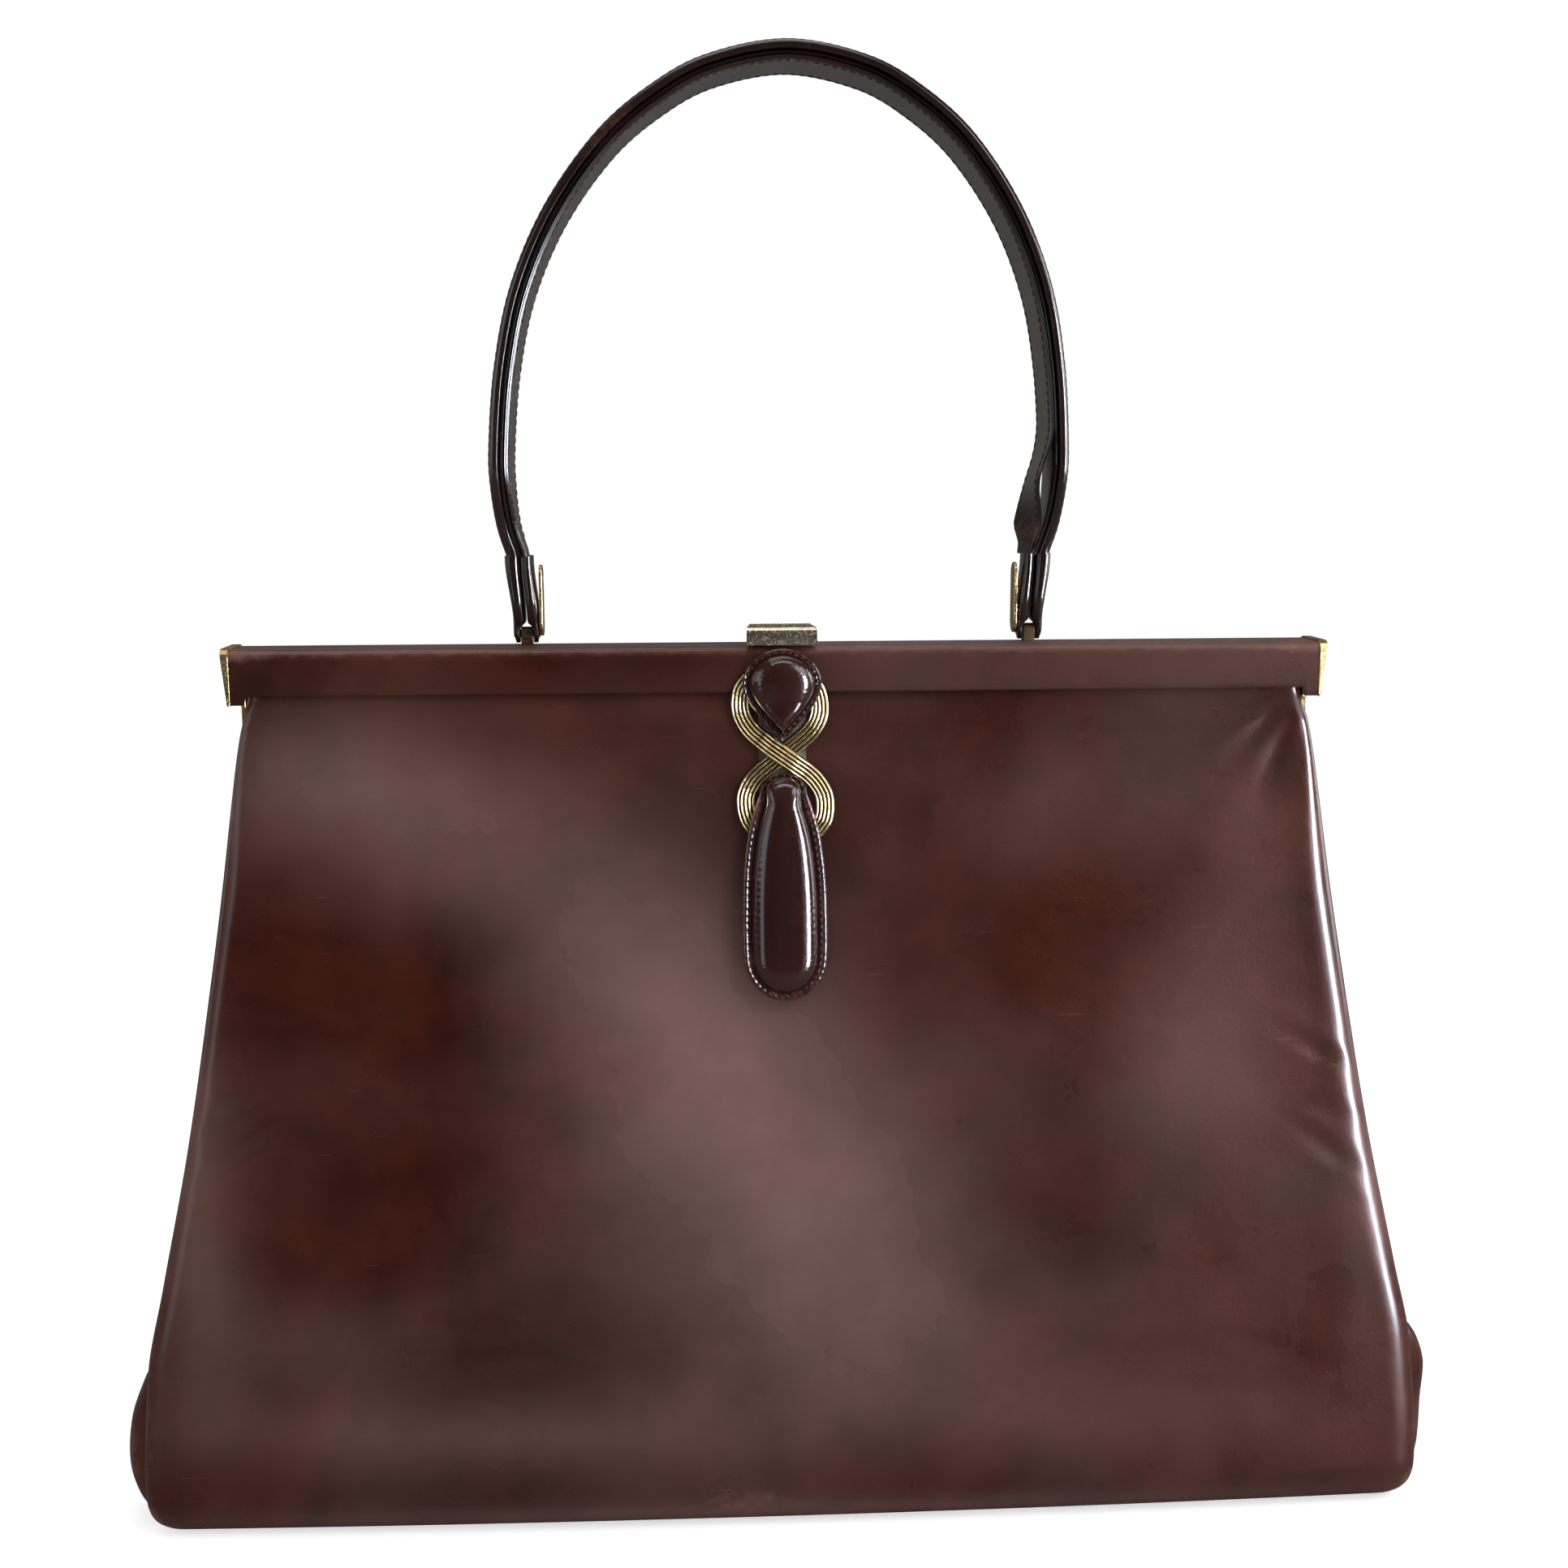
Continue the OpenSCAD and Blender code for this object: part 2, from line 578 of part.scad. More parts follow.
module pad(top, high, wide, shares, centre_share) {
    n = len(shares);
    loop = concat([for (i = [0 : n - 1]) [-shares[i][1], shares[i][0]]],
        [for (i = [n - 2 : -1 : 1]) [shares[i][1], shares[i][0]]]);
    function at(p, scale, out) = let (
        z = top - high * mix(centre_share, p[1], scale))
        [p[0] * wide / 2 * scale, -back_y(z) - pad_back - out, z];
    rings_solid(concat([[for (p = loop) at(p, 1, 0)]],
        [for (s = pad_level_shares) [for (p = loop) at(p, s[0], rim_t + pad_proud * s[1])]]),
        at([0, centre_share], 0, 0), at([0, centre_share], 0, rim_t + pad_proud));
}
drop_down = 0.2;
tab_pad_down = 32.7;
drop_centre_share = 0.42;
tab_centre_share = 0.58;
module teardrop_pad() color(calf)
    pad(bag_h - drop_down, drop_h, drop_w, drop_shares, drop_centre_share);
module tab_pad() color(calf)
    pad(bag_h - tab_pad_down, tab_pad_h, tab_pad_w, tab_shares, tab_centre_share);

// Ribbed figure-eight: two strands that cross, with ends tucked behind the pads.
// Its centre line is [share of the loops' half width, share of the height] of the over strand
eight_down = 8.4;
eight_top = bag_h - eight_down;
eight_h = 39.2;
strand_shares = [[-0.7, 0], [-0.92, 0.07], [-1, 0.16], [-0.96, 0.25], [-0.74, 0.345],
    [-0.36, 0.43], [0, 0.5], [0.36, 0.57], [0.74, 0.655], [0.96, 0.75], [1, 0.84],
    [0.92, 0.93], [0.7, 1]];
strand_steps = 3;
cross_rise = band_t + fit;
cross_flat = 2.1;
cross_reach = 4.3;
eight_skew = 0.9;
band_base = 0.6;

// Smooth curve through a list of points
function curve_point(p, i, t) = let (
    a = p[max(i - 1, 0)], b = p[i], c = p[min(i + 1, len(p) - 1)], d = p[min(i + 2, len(p) - 1)])
    (2 * b + (c - a) * t + (2 * a - 5 * b + 4 * c - d) * t * t
        + (3 * b - a - 3 * c + d) * t * t * t) / 2;
function curve(p, steps) = concat(
    [for (i = [0 : len(p) - 2], k = [0 : steps - 1]) curve_point(p, i, k / steps)],
    [p[len(p) - 1]]);
function heading(path, i) = let (
    d = path[min(i + 1, len(path) - 1)] - path[max(i - 1, 0)]) d / norm(d);

module strand(side, rise) {
    loop_half = (eight_w - band_w) / 2;
    path = curve([for (s = strand_shares)
        [side * s[0] * loop_half + eight_skew * (2 * s[1] - 1), eight_top - eight_h * s[1]]],
        strand_steps);
    crest = [for (i = [0 : 3 * band_ribs]) [band_w / 2 - band_w * i / (3 * band_ribs),
        i % 3 == 0 ? band_base : band_t]];
    section = concat([[-band_w / 2, 0], [band_w / 2, 0]], crest);
    rings_solid([for (i = [0 : len(path) - 1]) let (
        p = path[i],
        t = heading(path, i),
        away = abs(p[1] - (eight_top - eight_h / 2)),
        lift = rise * ease(clamp((cross_reach - away) / (cross_reach - cross_flat))))
        [for (s = section) let (x = p[0] - s[0] * t[1], z = p[1] + s[0] * t[0])
            [x, -back_y(z) - strip_t - fit / 2 - lift - s[1], z]]]);
}
module over_strand() color(brass) strand(1, cross_rise);
module under_strand() color(brass) strand(-1, 0);

// Handle: the outer face follows this arch, as shares of its half width and height,
// from the right end up to the top
arch_shares = [[0.95, 0.152], [0.98, 0.202], [0.997, 0.268], [1, 0.338], [0.978, 0.47],
    [0.922, 0.603], [0.81, 0.732], [0.641, 0.849], [0.464, 0.924], [0.27, 0.975], [0, 1]];
arch_count = len(arch_shares);
arch_lean = 2.4;
arch_steps = 3;
function arch_at(side, s) = [side * s[0] * handle_w / 2 + arch_lean * ease(clamp(s[1])) * s[1],
    bag_h + handle_h * s[1]];
arch = curve(concat([for (s = arch_shares) arch_at(-1, s)],
    [for (i = [arch_count - 2 : -1 : 0]) arch_at(1, arch_shares[i])]), arch_steps);

tab_w = 9.6;
strap_end_share = 0.152;
strap_full_share = 0.31;
function strap_share(p) = clamp(((p[1] - bag_h) / handle_h - strap_end_share)
    / (strap_full_share - strap_end_share));
gape_centre = 36;
gape_reach = 20;
function gape(p) = p[0] < 0 ? 0
    : strap_gape * ease(clamp(1 - abs(p[1] - bag_h - gape_centre) / gape_reach));

// Sweeps a section given as [share of the strap's half width, depth below the outer face]
module strap(section, gaping) rings_solid([for (i = [0 : len(arch) - 1]) let (
    p = arch[i],
    t = i == 0 ? [0, 1] : i == len(arch) - 1 ? [0, -1] : heading(arch, i),
    half = mix(tab_w, strap_w, ease(strap_share(p))) / 2)
    [for (s = section) let (depth = s[1] + (gaping ? gape(p) : 0))
        [p[0] + t[1] * depth, lug_y + s[0] * half, p[1] - t[0] * depth]]]);

core_depth = outer_strap_t + fit;
inner_depth = core_depth + core_t + fit;
core_share = 0.8;
roll_shares = [[-0.8, 0.18], [-1, 0.5], [-1, 0.82], [-0.9, 1], [0.9, 1], [1, 0.82], [1, 0.5],
    [0.8, 0.18], [0.4, 0], [-0.4, 0]];
module outer_strap() color(dark_calf)
    strap([for (s = roll_shares) [s[0], s[1] * outer_strap_t]], false);
module strap_core() color(card) strap([
    [-core_share, core_depth], [-core_share, core_depth + core_t],
    [core_share, core_depth + core_t], [core_share, core_depth]], false);
module inner_strap() color(dark_calf) strap([
    [-1, inner_depth], [-1, inner_depth + inner_strap_t], [1, inner_depth + inner_strap_t],
    [1, inner_depth]], true);

// End tabs: leather forks that straddle the lugs, with a see-through eye over each lug
tab_leg = 1.8;
tab_t = lug_t + 2 * tab_leg + 4 * fit;
lug_z = bag_h + lug_h;
tab_round = lug_h - seat;
tab_neck = 8;
tab_top = arch[0][1] - fit;
eye_z = lug_z + lug_eye_r;
eye_top = 2.6;
module tab_side() union() {
    polygon([[-tab_round, lug_z], [tab_round, lug_z], [tab_w / 2, lug_z + tab_neck],
        [tab_w / 2, tab_top], [-tab_w / 2, tab_top], [-tab_w / 2, lug_z + tab_neck]]);
    translate([0, lug_z]) circle(tab_round);
}
module right_tab() color(dark_calf) translate([lug_x, lug_y, 0]) difference() {
    across(-tab_t / 2, tab_t) tab_side();
    translate([-lug_t / 2 - 2 * fit, -tab_w, bag_h - overrun])
        cube([lug_t + 4 * fit, 2 * tab_w, eye_z - bag_h + overrun + eye_top / 2]);
    translate([0, tab_w, eye_z + eye_top / 2]) rotate([90, 0, 0])
        cylinder(h = 2 * tab_w, r = lug_t / 2 + 2 * fit);
    translate([-tab_t, 0, lug_z]) rotate([0, 90, 0])
        cylinder(h = 2 * tab_t, r = lug_pin_r + running);
}
module left_tab() mirror([1, 0, 0]) right_tab();

module right_lug() color(brass) difference() {
    union() {
        translate([lug_x - lug_t / 2, lug_y - lug_eye_r, hollow_top - lug_foot_t])
            cube([lug_t, 2 * lug_eye_r, lug_z - hollow_top + lug_foot_t]);
        translate([lug_x - lug_t / 2, lug_y, lug_z]) rotate([0, 90, 0])
            cylinder(h = lug_t, r = lug_eye_r);
        translate([lug_x - lug_foot_w / 2, lug_y - lug_eye_r, hollow_top - lug_foot_t])
            cube([lug_foot_w, 2 * lug_eye_r, lug_foot_t - fit / 2]);
    }
    translate([lug_x - lug_t, lug_y, lug_z]) rotate([0, 90, 0])
        cylinder(h = 2 * lug_t, r = lug_pin_r + running);
}
module left_lug() mirror([1, 0, 0]) right_lug();

module right_lug_pin() color(brass) translate([lug_x - tab_t / 2, lug_y, lug_z])
    rotate([0, 90, 0]) cylinder(h = tab_t, r = lug_pin_r);
module left_lug_pin() mirror([1, 0, 0]) right_lug_pin();

// Oval brass plates on the inner faces of the tabs
oval_h = 18.8;
oval_w = 6.4;
oval_t = 0.9;
oval_foot = -0.7;
module right_oval() color(brass) across(lug_x - tab_t / 2 - fit / 2 - oval_t, oval_t)
    translate([lug_y, lug_z + oval_foot]) {
        translate([-oval_w / 2, oval_w / 2]) square([oval_w, oval_h - oval_w]);
        for (h = [oval_w / 2, oval_h - oval_w / 2]) translate([0, h]) circle(oval_w / 2);
    }
module left_oval() mirror([1, 0, 0]) right_oval();

outer_hide();
left_gusset();
right_gusset();
front_board();
back_board();
base_board();
main_lining();
left_gusset_lining();
right_gusset_lining();
slip_pocket();
pocket_binding();
left_hinge_pin();
right_hinge_pin();
front_bar();
front_bar_cover();
front_left_cap();
front_right_cap();
front_left_arm();
front_right_arm();
strike_plate();
ornament_strip();
teardrop_pad();
tab_pad();
over_strand();
under_strand();
back_bar();
back_bar_cover();
back_left_cap();
back_right_cap();
back_left_arm();
back_right_arm();
catch_plate();
catch_pin();
catch_spring();
left_lug();
right_lug();
thumb_catch();
outer_strap();
strap_core();
inner_strap();
left_tab();
right_tab();
left_oval();
right_oval();
left_lug_pin();
right_lug_pin();
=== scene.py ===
"""Dresses the frame handbag: a soft body of polished calf on a leather-covered frame with worn
brass fittings, a ribbed figure-eight with padded leather ornaments, and a rolled handle.
Places are written in millimetres, as the object is measured, and become metres in its meshes."""

import math

import bmesh
import bpy
import numpy as np
from mathutils import Matrix, Vector, noise


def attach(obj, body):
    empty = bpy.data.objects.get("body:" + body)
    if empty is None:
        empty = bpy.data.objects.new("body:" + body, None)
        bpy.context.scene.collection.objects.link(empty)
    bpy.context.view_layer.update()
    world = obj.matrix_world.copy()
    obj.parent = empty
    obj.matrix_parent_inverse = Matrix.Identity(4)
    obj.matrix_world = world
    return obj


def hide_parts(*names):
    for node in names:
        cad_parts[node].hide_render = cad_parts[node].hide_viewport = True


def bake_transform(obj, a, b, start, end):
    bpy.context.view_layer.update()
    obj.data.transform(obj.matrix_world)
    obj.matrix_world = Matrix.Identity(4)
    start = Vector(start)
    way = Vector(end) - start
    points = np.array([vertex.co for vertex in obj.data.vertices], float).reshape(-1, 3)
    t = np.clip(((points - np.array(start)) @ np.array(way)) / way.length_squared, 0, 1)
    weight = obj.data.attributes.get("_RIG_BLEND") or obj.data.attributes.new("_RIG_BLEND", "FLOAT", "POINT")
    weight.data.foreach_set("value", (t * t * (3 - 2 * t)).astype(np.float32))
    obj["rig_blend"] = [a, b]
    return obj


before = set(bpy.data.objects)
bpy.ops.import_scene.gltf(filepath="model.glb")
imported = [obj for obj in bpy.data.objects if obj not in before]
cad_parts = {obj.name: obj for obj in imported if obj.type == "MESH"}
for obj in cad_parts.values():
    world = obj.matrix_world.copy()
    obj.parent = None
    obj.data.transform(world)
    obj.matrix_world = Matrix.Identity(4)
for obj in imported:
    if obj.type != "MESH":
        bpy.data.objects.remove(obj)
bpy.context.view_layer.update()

MM = 0.001
NEAR = 2e-6  # points this close, in metres, are one
PANELS = ((-1, "front"), (1, "back"))  # which way each one faces, and its name


# Sums that several pieces share

def mix(a, b, t):
    return a + (b - a) * t


def ease(t):
    t = np.clip(t, 0.0, 1.0)
    return t * t * (3 - 2 * t)


def hill(x, middle, width):
    """A smooth hump that is 1 at its middle."""
    return np.exp(-((x - middle) / width) ** 2)


def run_along(line):
    """How far along a line each of its points is."""
    return np.concatenate([[0], np.cumsum(np.linalg.norm(np.diff(line, axis=0), axis=1))])


def smooth_table(pairs):
    """A curve through [place, value] pairs, without kinks and without overshoot."""
    x, y = np.array(pairs, float).T
    step, slope = np.diff(x), np.diff(y) / np.diff(x)
    turn = np.zeros(len(x))
    turn[0], turn[-1] = slope[0], slope[-1]
    for i in range(1, len(x) - 1):
        if slope[i - 1] * slope[i] > 0:
            turn[i] = 2 * slope[i - 1] * slope[i] / (slope[i - 1] + slope[i])

    def at(place):
        place = np.clip(np.asarray(place, float), x[0], x[-1])
        i = np.clip(np.searchsorted(x, place, "right") - 1, 0, len(x) - 2)
        t = (place - x[i]) / step[i]
        return ((1 + 2 * t) * (1 - t) ** 2 * y[i] + t * (1 - t) ** 2 * step[i] * turn[i]
                + t * t * (3 - 2 * t) * y[i + 1] + t * t * (t - 1) * step[i] * turn[i + 1])
    return at


def evenly(points, step, closed=False):
    """The same line with its points about one step apart."""
    p = np.array(points, float)
    if closed:
        p = np.vstack([p, p[:1]])
    run = run_along(p)
    count = max(2, int(round(run[-1] / step)))
    at = np.linspace(0, run[-1], count + 1)
    if closed:
        at = at[:-1]
    return np.stack([np.interp(at, run, p[:, k]) for k in range(p.shape[1])], 1)


def flowing(points, steps, closed=False):
    """A smooth line through all the points."""
    p = np.array(points, float)
    n = len(p)
    out = []
    for i in range(n if closed else n - 1):
        if closed:
            a, b, c, d = p[i - 1], p[i], p[(i + 1) % n], p[(i + 2) % n]
        else:
            a, b, c, d = p[max(i - 1, 0)], p[i], p[i + 1], p[min(i + 2, n - 1)]
        for t in np.arange(steps) / steps:
            out.append((2 * b + (c - a) * t + (2 * a - 5 * b + 4 * c - d) * t ** 2
                        + (3 * b - a - 3 * c + d) * t ** 3) / 2)
    if not closed:
        out.append(p[-1])
    return np.array(out)


def headings(path, closed=False):
    """The direction of a line at each of its points."""
    p = np.asarray(path, float)
    if closed:
        d = np.roll(p, -1, 0) - np.roll(p, 1, 0)
    else:
        d = np.gradient(p, axis=0)
    return d / np.linalg.norm(d, axis=1)[:, None]


def facing(grid):
    """The direction that each point of a grid of points faces."""
    g = np.cross(np.gradient(grid, axis=1), np.gradient(grid, axis=0))
    return g / np.maximum(np.linalg.norm(g, axis=2), 1e-9)[:, :, None]


def clouds(points, size, seed):
    """Soft random values from -1 to 1 over places, with hills about one size apart."""
    p = np.asarray(points, float).reshape(-1, 3) / size + seed * 17.3
    return np.array([noise.noise(Vector(q)) for q in p]).reshape(np.asarray(points).shape[:-1])


# Meshes

def show(obj):
    """Puts an object into the scene."""
    bpy.context.scene.collection.objects.link(obj)
    return obj


def smooth(mesh, crease):
    """Smooth shading, but sharp at edges over an angle."""
    mesh.polygons.foreach_set("use_smooth", [True] * len(mesh.polygons))
    mesh.set_sharp_from_angle(angle=math.radians(crease))


def piece(name, points, faces, finish, body=None, uv=None, crease=35):
    """A mesh object from places in millimetres, with its faces outwards."""
    mesh = bpy.data.meshes.new(name)
    mesh.from_pydata((np.asarray(points, float) * MM).tolist(), [], faces)
    if uv is not None:
        layer = mesh.uv_layers.new(name="cloth")
        corners = np.zeros(len(mesh.loops), np.int32)
        mesh.loops.foreach_get("vertex_index", corners)
        layer.data.foreach_set("uv", np.asarray(uv, np.float32)[corners].ravel() * MM)
    bm = bmesh.new()
    bm.from_mesh(mesh)
    bmesh.ops.remove_doubles(bm, verts=bm.verts, dist=NEAR)
    bmesh.ops.recalc_face_normals(bm, faces=bm.faces)
    bm.to_mesh(mesh)
    bm.free()
    smooth(mesh, crease)
    mesh.materials.append(finish)
    obj = show(bpy.data.objects.new(name, mesh))
    if body:
        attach(obj, body)
    return obj


def sheet(name, outer, inner, finish, body=None, uv=None):
    """A closed sheet of leather or cloth between two grids of points."""
    n, m = outer.shape[:2]
    points = np.concatenate([outer.reshape(-1, 3), inner.reshape(-1, 3)])
    back = n * m
    faces = []
    for i in range(n - 1):
        for j in range(m - 1):
            a, b = i * m + j, (i + 1) * m + j
            faces.append((a, a + 1, b + 1, b))
            faces.append((back + a, back + b, back + b + 1, back + a + 1))
    for i in range(n - 1):
        for j in (0, m - 1):
            a, b = i * m + j, (i + 1) * m + j
            faces.append((a, b, back + b, back + a))
    for j in range(m - 1):
        for i in (0, n - 1):
            a = i * m + j
            faces.append((a, back + a, back + a + 1, a + 1))
    both = None if uv is None else np.concatenate([uv.reshape(-1, 2)] * 2)
    return piece(name, points, faces, finish, body, both)


def ring_faces(count, size, start=0):
    """The faces of a run of rings, with both ends shut."""
    faces = []
    for i in range(count - 1):
        for j in range(size):
            a, b = start + i * size + j, start + i * size + (j + 1) % size
            faces.append((a, b, b + size, a + size))
    return faces + [tuple(range(start, start + size)),
                    tuple(range(start + (count - 1) * size, start + count * size))]


def sweep(name, rings, finish, body, crease=35):
    """A closed piece through rings of points that each run once round it."""
    rings = np.asarray(rings, float)
    return piece(name, rings.reshape(-1, 3), ring_faces(*rings.shape[:2]), finish, body,
                 crease=crease)


def paint(obj, name, values):
    """Stores one value a point on a piece, for its finish to read."""
    layer = obj.data.attributes.new(name, "FLOAT", "POINT")
    layer.data.foreach_set("value", np.asarray(values, np.float32))


def places(obj):
    """A piece's points in millimetres."""
    co = np.zeros(len(obj.data.vertices) * 3)
    obj.data.vertices.foreach_get("co", co)
    return co.reshape(-1, 3) / MM


def softened(node, width, finish, body, segments=2):
    """A copy of a fitting of the frame, merged into whole faces and with rounded edges."""
    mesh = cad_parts[node].data.copy()
    bm = bmesh.new()
    bm.from_mesh(mesh)
    bmesh.ops.remove_doubles(bm, verts=bm.verts, dist=NEAR / 2)
    bmesh.ops.dissolve_limit(bm, angle_limit=math.radians(1), verts=bm.verts, edges=bm.edges)
    bm.to_mesh(mesh)
    bm.free()
    mesh.materials.clear()
    mesh.materials.append(finish)
    smooth(mesh, 35)
    obj = show(bpy.data.objects.new(node + ".soft", mesh))
    bevel = obj.modifiers.new("Round edges", "BEVEL")
    bevel.width, bevel.segments = width * MM, segments
    bevel.limit_method, bevel.angle_limit = "ANGLE", math.radians(30)
    bevel.harden_normals = True
    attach(obj, body)
    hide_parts(node)


def refinish(node, finish):
    """Gives a piece of the frame that shows as it is its finish."""
    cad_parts[node].data.materials.clear()
    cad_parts[node].data.materials.append(finish)


# Finishes

def add(tree, kind, values=(), **options):
    """Adds a node with its options, and gives its inputs a value or a link each."""
    made = tree.nodes.new(kind)
    for key, value in options.items():
        setattr(made, key, value)
    for key, value in dict(values).items():
        if isinstance(value, bpy.types.NodeSocket):
            tree.links.new(value, made.inputs[key])
        else:
            made.inputs[key].default_value = value
    return made


def new_finish(name, coat=0.0, sheen=0.0, metallic=0.0, specular=0.5):
    """A material, its shader and the place on the object."""
    finish = bpy.data.materials.new(name)
    finish.use_nodes = True
    tree = finish.node_tree
    shader = tree.nodes["Principled BSDF"]
    for socket, value in (("Coat Weight", coat), ("Sheen Weight", sheen),
                          ("Metallic", metallic), ("Specular IOR Level", specular)):
        shader.inputs[socket].default_value = value
    return finish, shader, tree.nodes.new("ShaderNodeTexCoord").outputs["Object"]


def stretch(where, scale, turn=(0, 0, 0)):
    return add(where.id_data, "ShaderNodeMapping", {
        "Vector": where, "Scale": scale, "Rotation": turn}).outputs[0]


def speckle(where, scale, detail=3.0, roughness=0.55, distortion=0.0):
    return add(where.id_data, "ShaderNodeTexNoise", {
        "Vector": where, "Scale": scale, "Detail": detail, "Roughness": roughness,
        "Distortion": distortion}).outputs["Fac"]


def cells(where, scale, feature):
    return add(where.id_data, "ShaderNodeTexVoronoi", {
        "Vector": where, "Scale": scale, "Randomness": 1.0}, feature=feature).outputs["Distance"]


def wale(cloth, scale, distortion):
    """Fine ribs across a cloth."""
    return add(cloth.id_data, "ShaderNodeTexWave", {
        "Vector": cloth, "Scale": scale, "Distortion": distortion, "Detail": 1.0},
        wave_type="BANDS").outputs["Fac"]


def between(value, low, high, to_low=0.0, to_high=1.0):
    """Spreads the part of a value between two limits over another range."""
    return add(value.id_data, "ShaderNodeMapRange", {
        "Value": value, "From Min": low, "From Max": high, "To Min": to_low,
        "To Max": to_high}, clamp=True).outputs[0]


def sum_of(a, b, operation="ADD"):
    return add(a.id_data, "ShaderNodeMath", {0: a, 1: b}, operation=operation).outputs[0]


def times(a, b):
    return sum_of(a, b, "MULTIPLY")


def tint(share, a, b):
    """A colour between two colours."""
    made = add(share.id_data, "ShaderNodeMix", {0: share}, data_type="RGBA")
    for index, colour in ((6, a), (7, b)):
        if isinstance(colour, bpy.types.NodeSocket):
            share.id_data.links.new(colour, made.inputs[index])
        else:
            made.inputs[index].default_value = (*colour, 1.0)
    return made.outputs[2]


def surface(shader, values, bumps):
    """Gives the shader its values and its bumps, as (height, depth in millimetres)."""
    tree, below = shader.id_data, None
    for height, depth in bumps:
        bump = {"Height": height, "Distance": depth * MM, "Strength": 1.0}
        if below is not None:
            bump["Normal"] = below
        below = add(tree, "ShaderNodeBump", bump).outputs[0]
    for socket, value in {**values, "Normal": below}.items():
        tree.links.new(value, shader.inputs[socket])


def painted(shader, name):
    return add(shader.id_data, "ShaderNodeAttribute", attribute_name=name).outputs["Fac"]


def calf(name, deep, light, bloom_and_painted_sheen, worn, shine=(0.2, 0.36), grain=1.0, coat=0.9):
    """Polished calf: clouds of two tones, a dull bloom that also carries a painted reflection, pores,
    hairline scratches and wear.
    """
    finish, shader, where = new_finish(name, coat=coat, specular=0.14)
    cloud = speckle(where, 16, 3, 0.6, 0.6)
    patch = speckle(where, 55, 4, 0.6)
    tone = sum_of(between(cloud, 0.38, 0.64, 0, 0.75), between(patch, 0.4, 0.7, 0, 0.25))
    skin = tint(tone, deep, light)
    # The painted mask of dull bloom and painted reflection: where it is high the colour turns lighter and
    # greyer and the leather rougher
    dull = painted(shader, "bloom_and_painted_sheen")
    bloom_and_sheen_share = between(sum_of(dull, times(between(patch, 0.3, 0.7, -0.12, 0.12), dull)), 0, 1)
    skin = tint(bloom_and_sheen_share, skin, bloom_and_painted_sheen)
    pores = cells(where, 1500, "F1")
    creasing = cells(where, 420, "DISTANCE_TO_EDGE")
    lines = speckle(stretch(where, (60, 60, 900), (0.2, 0.5, 0.1)), 1.0, 2, 0.5)
    scratch = between(lines, 0.73, 0.78)
    specks = times(between(pores, 0.05, 0.11, 1, 0),
                   between(speckle(where, 160, 2), 0.6, 0.66, 0, 0.5))
    rub = between(sum_of(painted(shader, "wear"), times(speckle(where, 240, 5, 0.7), 0.9)),
                  0.75, 1.25)
    skin = tint(rub, skin, worn)
    skin = tint(times(scratch, 0.25), skin, worn)
    skin = tint(specks, skin, tuple(min(1.0, c * 2.5 + 0.05) for c in worn))
    gloss = between(speckle(where, 38, 5, 0.65), 0.3, 0.7, *shine)
    gloss = sum_of(gloss, times(bloom_and_sheen_share, 0.2))
    surface(shader, {
        "Base Color": skin,
        "Roughness": sum_of(gloss, times(rub, 0.25)),
        "Coat Roughness": between(sum_of(bloom_and_sheen_share, rub, "MAXIMUM"), 0, 1, 0.16, 0.36)}, [
            (between(creasing, 0.0, 0.12), 0.014 * grain),
            (between(pores, 0.0, 0.35), 0.010 * grain),
            (scratch, -0.012), (speckle(where, 110, 3), 0.06)])
    return finish


def worn_brass(name, bright, dull, tarnish_and_groove_shade, rough=(0.2, 0.42), pits=1.0):
    """Old gilt brass: bright where it is handled, dull and speckled elsewhere, dark in grooves with tarnish
    and painted shade.
    """
    finish, shader, where = new_finish(name, metallic=1.0)
    cloud = speckle(where, 220, 5, 0.65, 0.4)
    dots = speckle(where, 1500, 4, 0.7)
    skin = tint(between(cloud, 0.42, 0.62), bright, dull)
    spots = times(between(dots, 0.56, 0.66), between(cloud, 0.35, 0.6))
    # Tarnish spots, and the grooves' tarnish and painted shade, darken the brass
    dark = sum_of(spots, between(painted(shader, "groove_tarnish_and_shade"), 0.35, 0.9), "MAXIMUM")
    skin = tint(dark, skin, tarnish_and_groove_shade)
    gloss = sum_of(between(dots, 0.35, 0.7, *rough), times(dark, 0.3))
    lines = speckle(stretch(where, (3000, 200, 200), (0.1, 0.3, 0.2)), 1.0, 2)
    surface(shader, {"Base Color": skin, "Roughness": gloss},
            [(dots, 0.012 * pits), (lines, 0.006)])
    return finish


def twill(name, light, dark):
    """Rayon twill: fine diagonal ribs that follow the cloth, with slubs and a soft sheen."""
    finish, shader, where = new_finish(name, sheen=0.3, specular=0.35)
    uv = add(shader.id_data, "ShaderNodeUVMap", uv_map="cloth").outputs[0]
    ribs = wale(stretch(uv, (1, 1, 1), (0, 0, 0.9)), 320, 0.4)
    warp = wale(uv, 620, 0.5)
    slub = speckle(stretch(uv, (40, 700, 1)), 1.0, 3)
    age = speckle(where, 22, 4, 0.6)
    tone = sum_of(times(ribs, 0.45), times(between(slub, 0.35, 0.7), 0.4))
    stain = tuple(c * 0.55 for c in dark)
    skin = tint(between(age, 0.5, 0.75, 0, 0.35), tint(tone, dark, light), stain)
    surface(shader, {"Base Color": skin, "Roughness": between(ribs, 0, 1, 0.75, 0.55)},
            [(ribs, 0.06), (warp, 0.03)])
    return finish


def grained(name, texture, tones, share, gloss, depth, metallic=0.0):
    """A stuff of two tones in one grain: pressed board, waxed thread or rusty wire."""
    finish, shader, where = new_finish(name, metallic=metallic)
    scale, detail, roughness = texture
    grain = speckle(stretch(where, scale), 1.0, detail, roughness)
    surface(shader, {"Base Color": tint(between(grain, *share), *tones),
                     "Roughness": between(grain, 0.3, 0.7, *gloss)}, [(grain, depth)])
    return finish
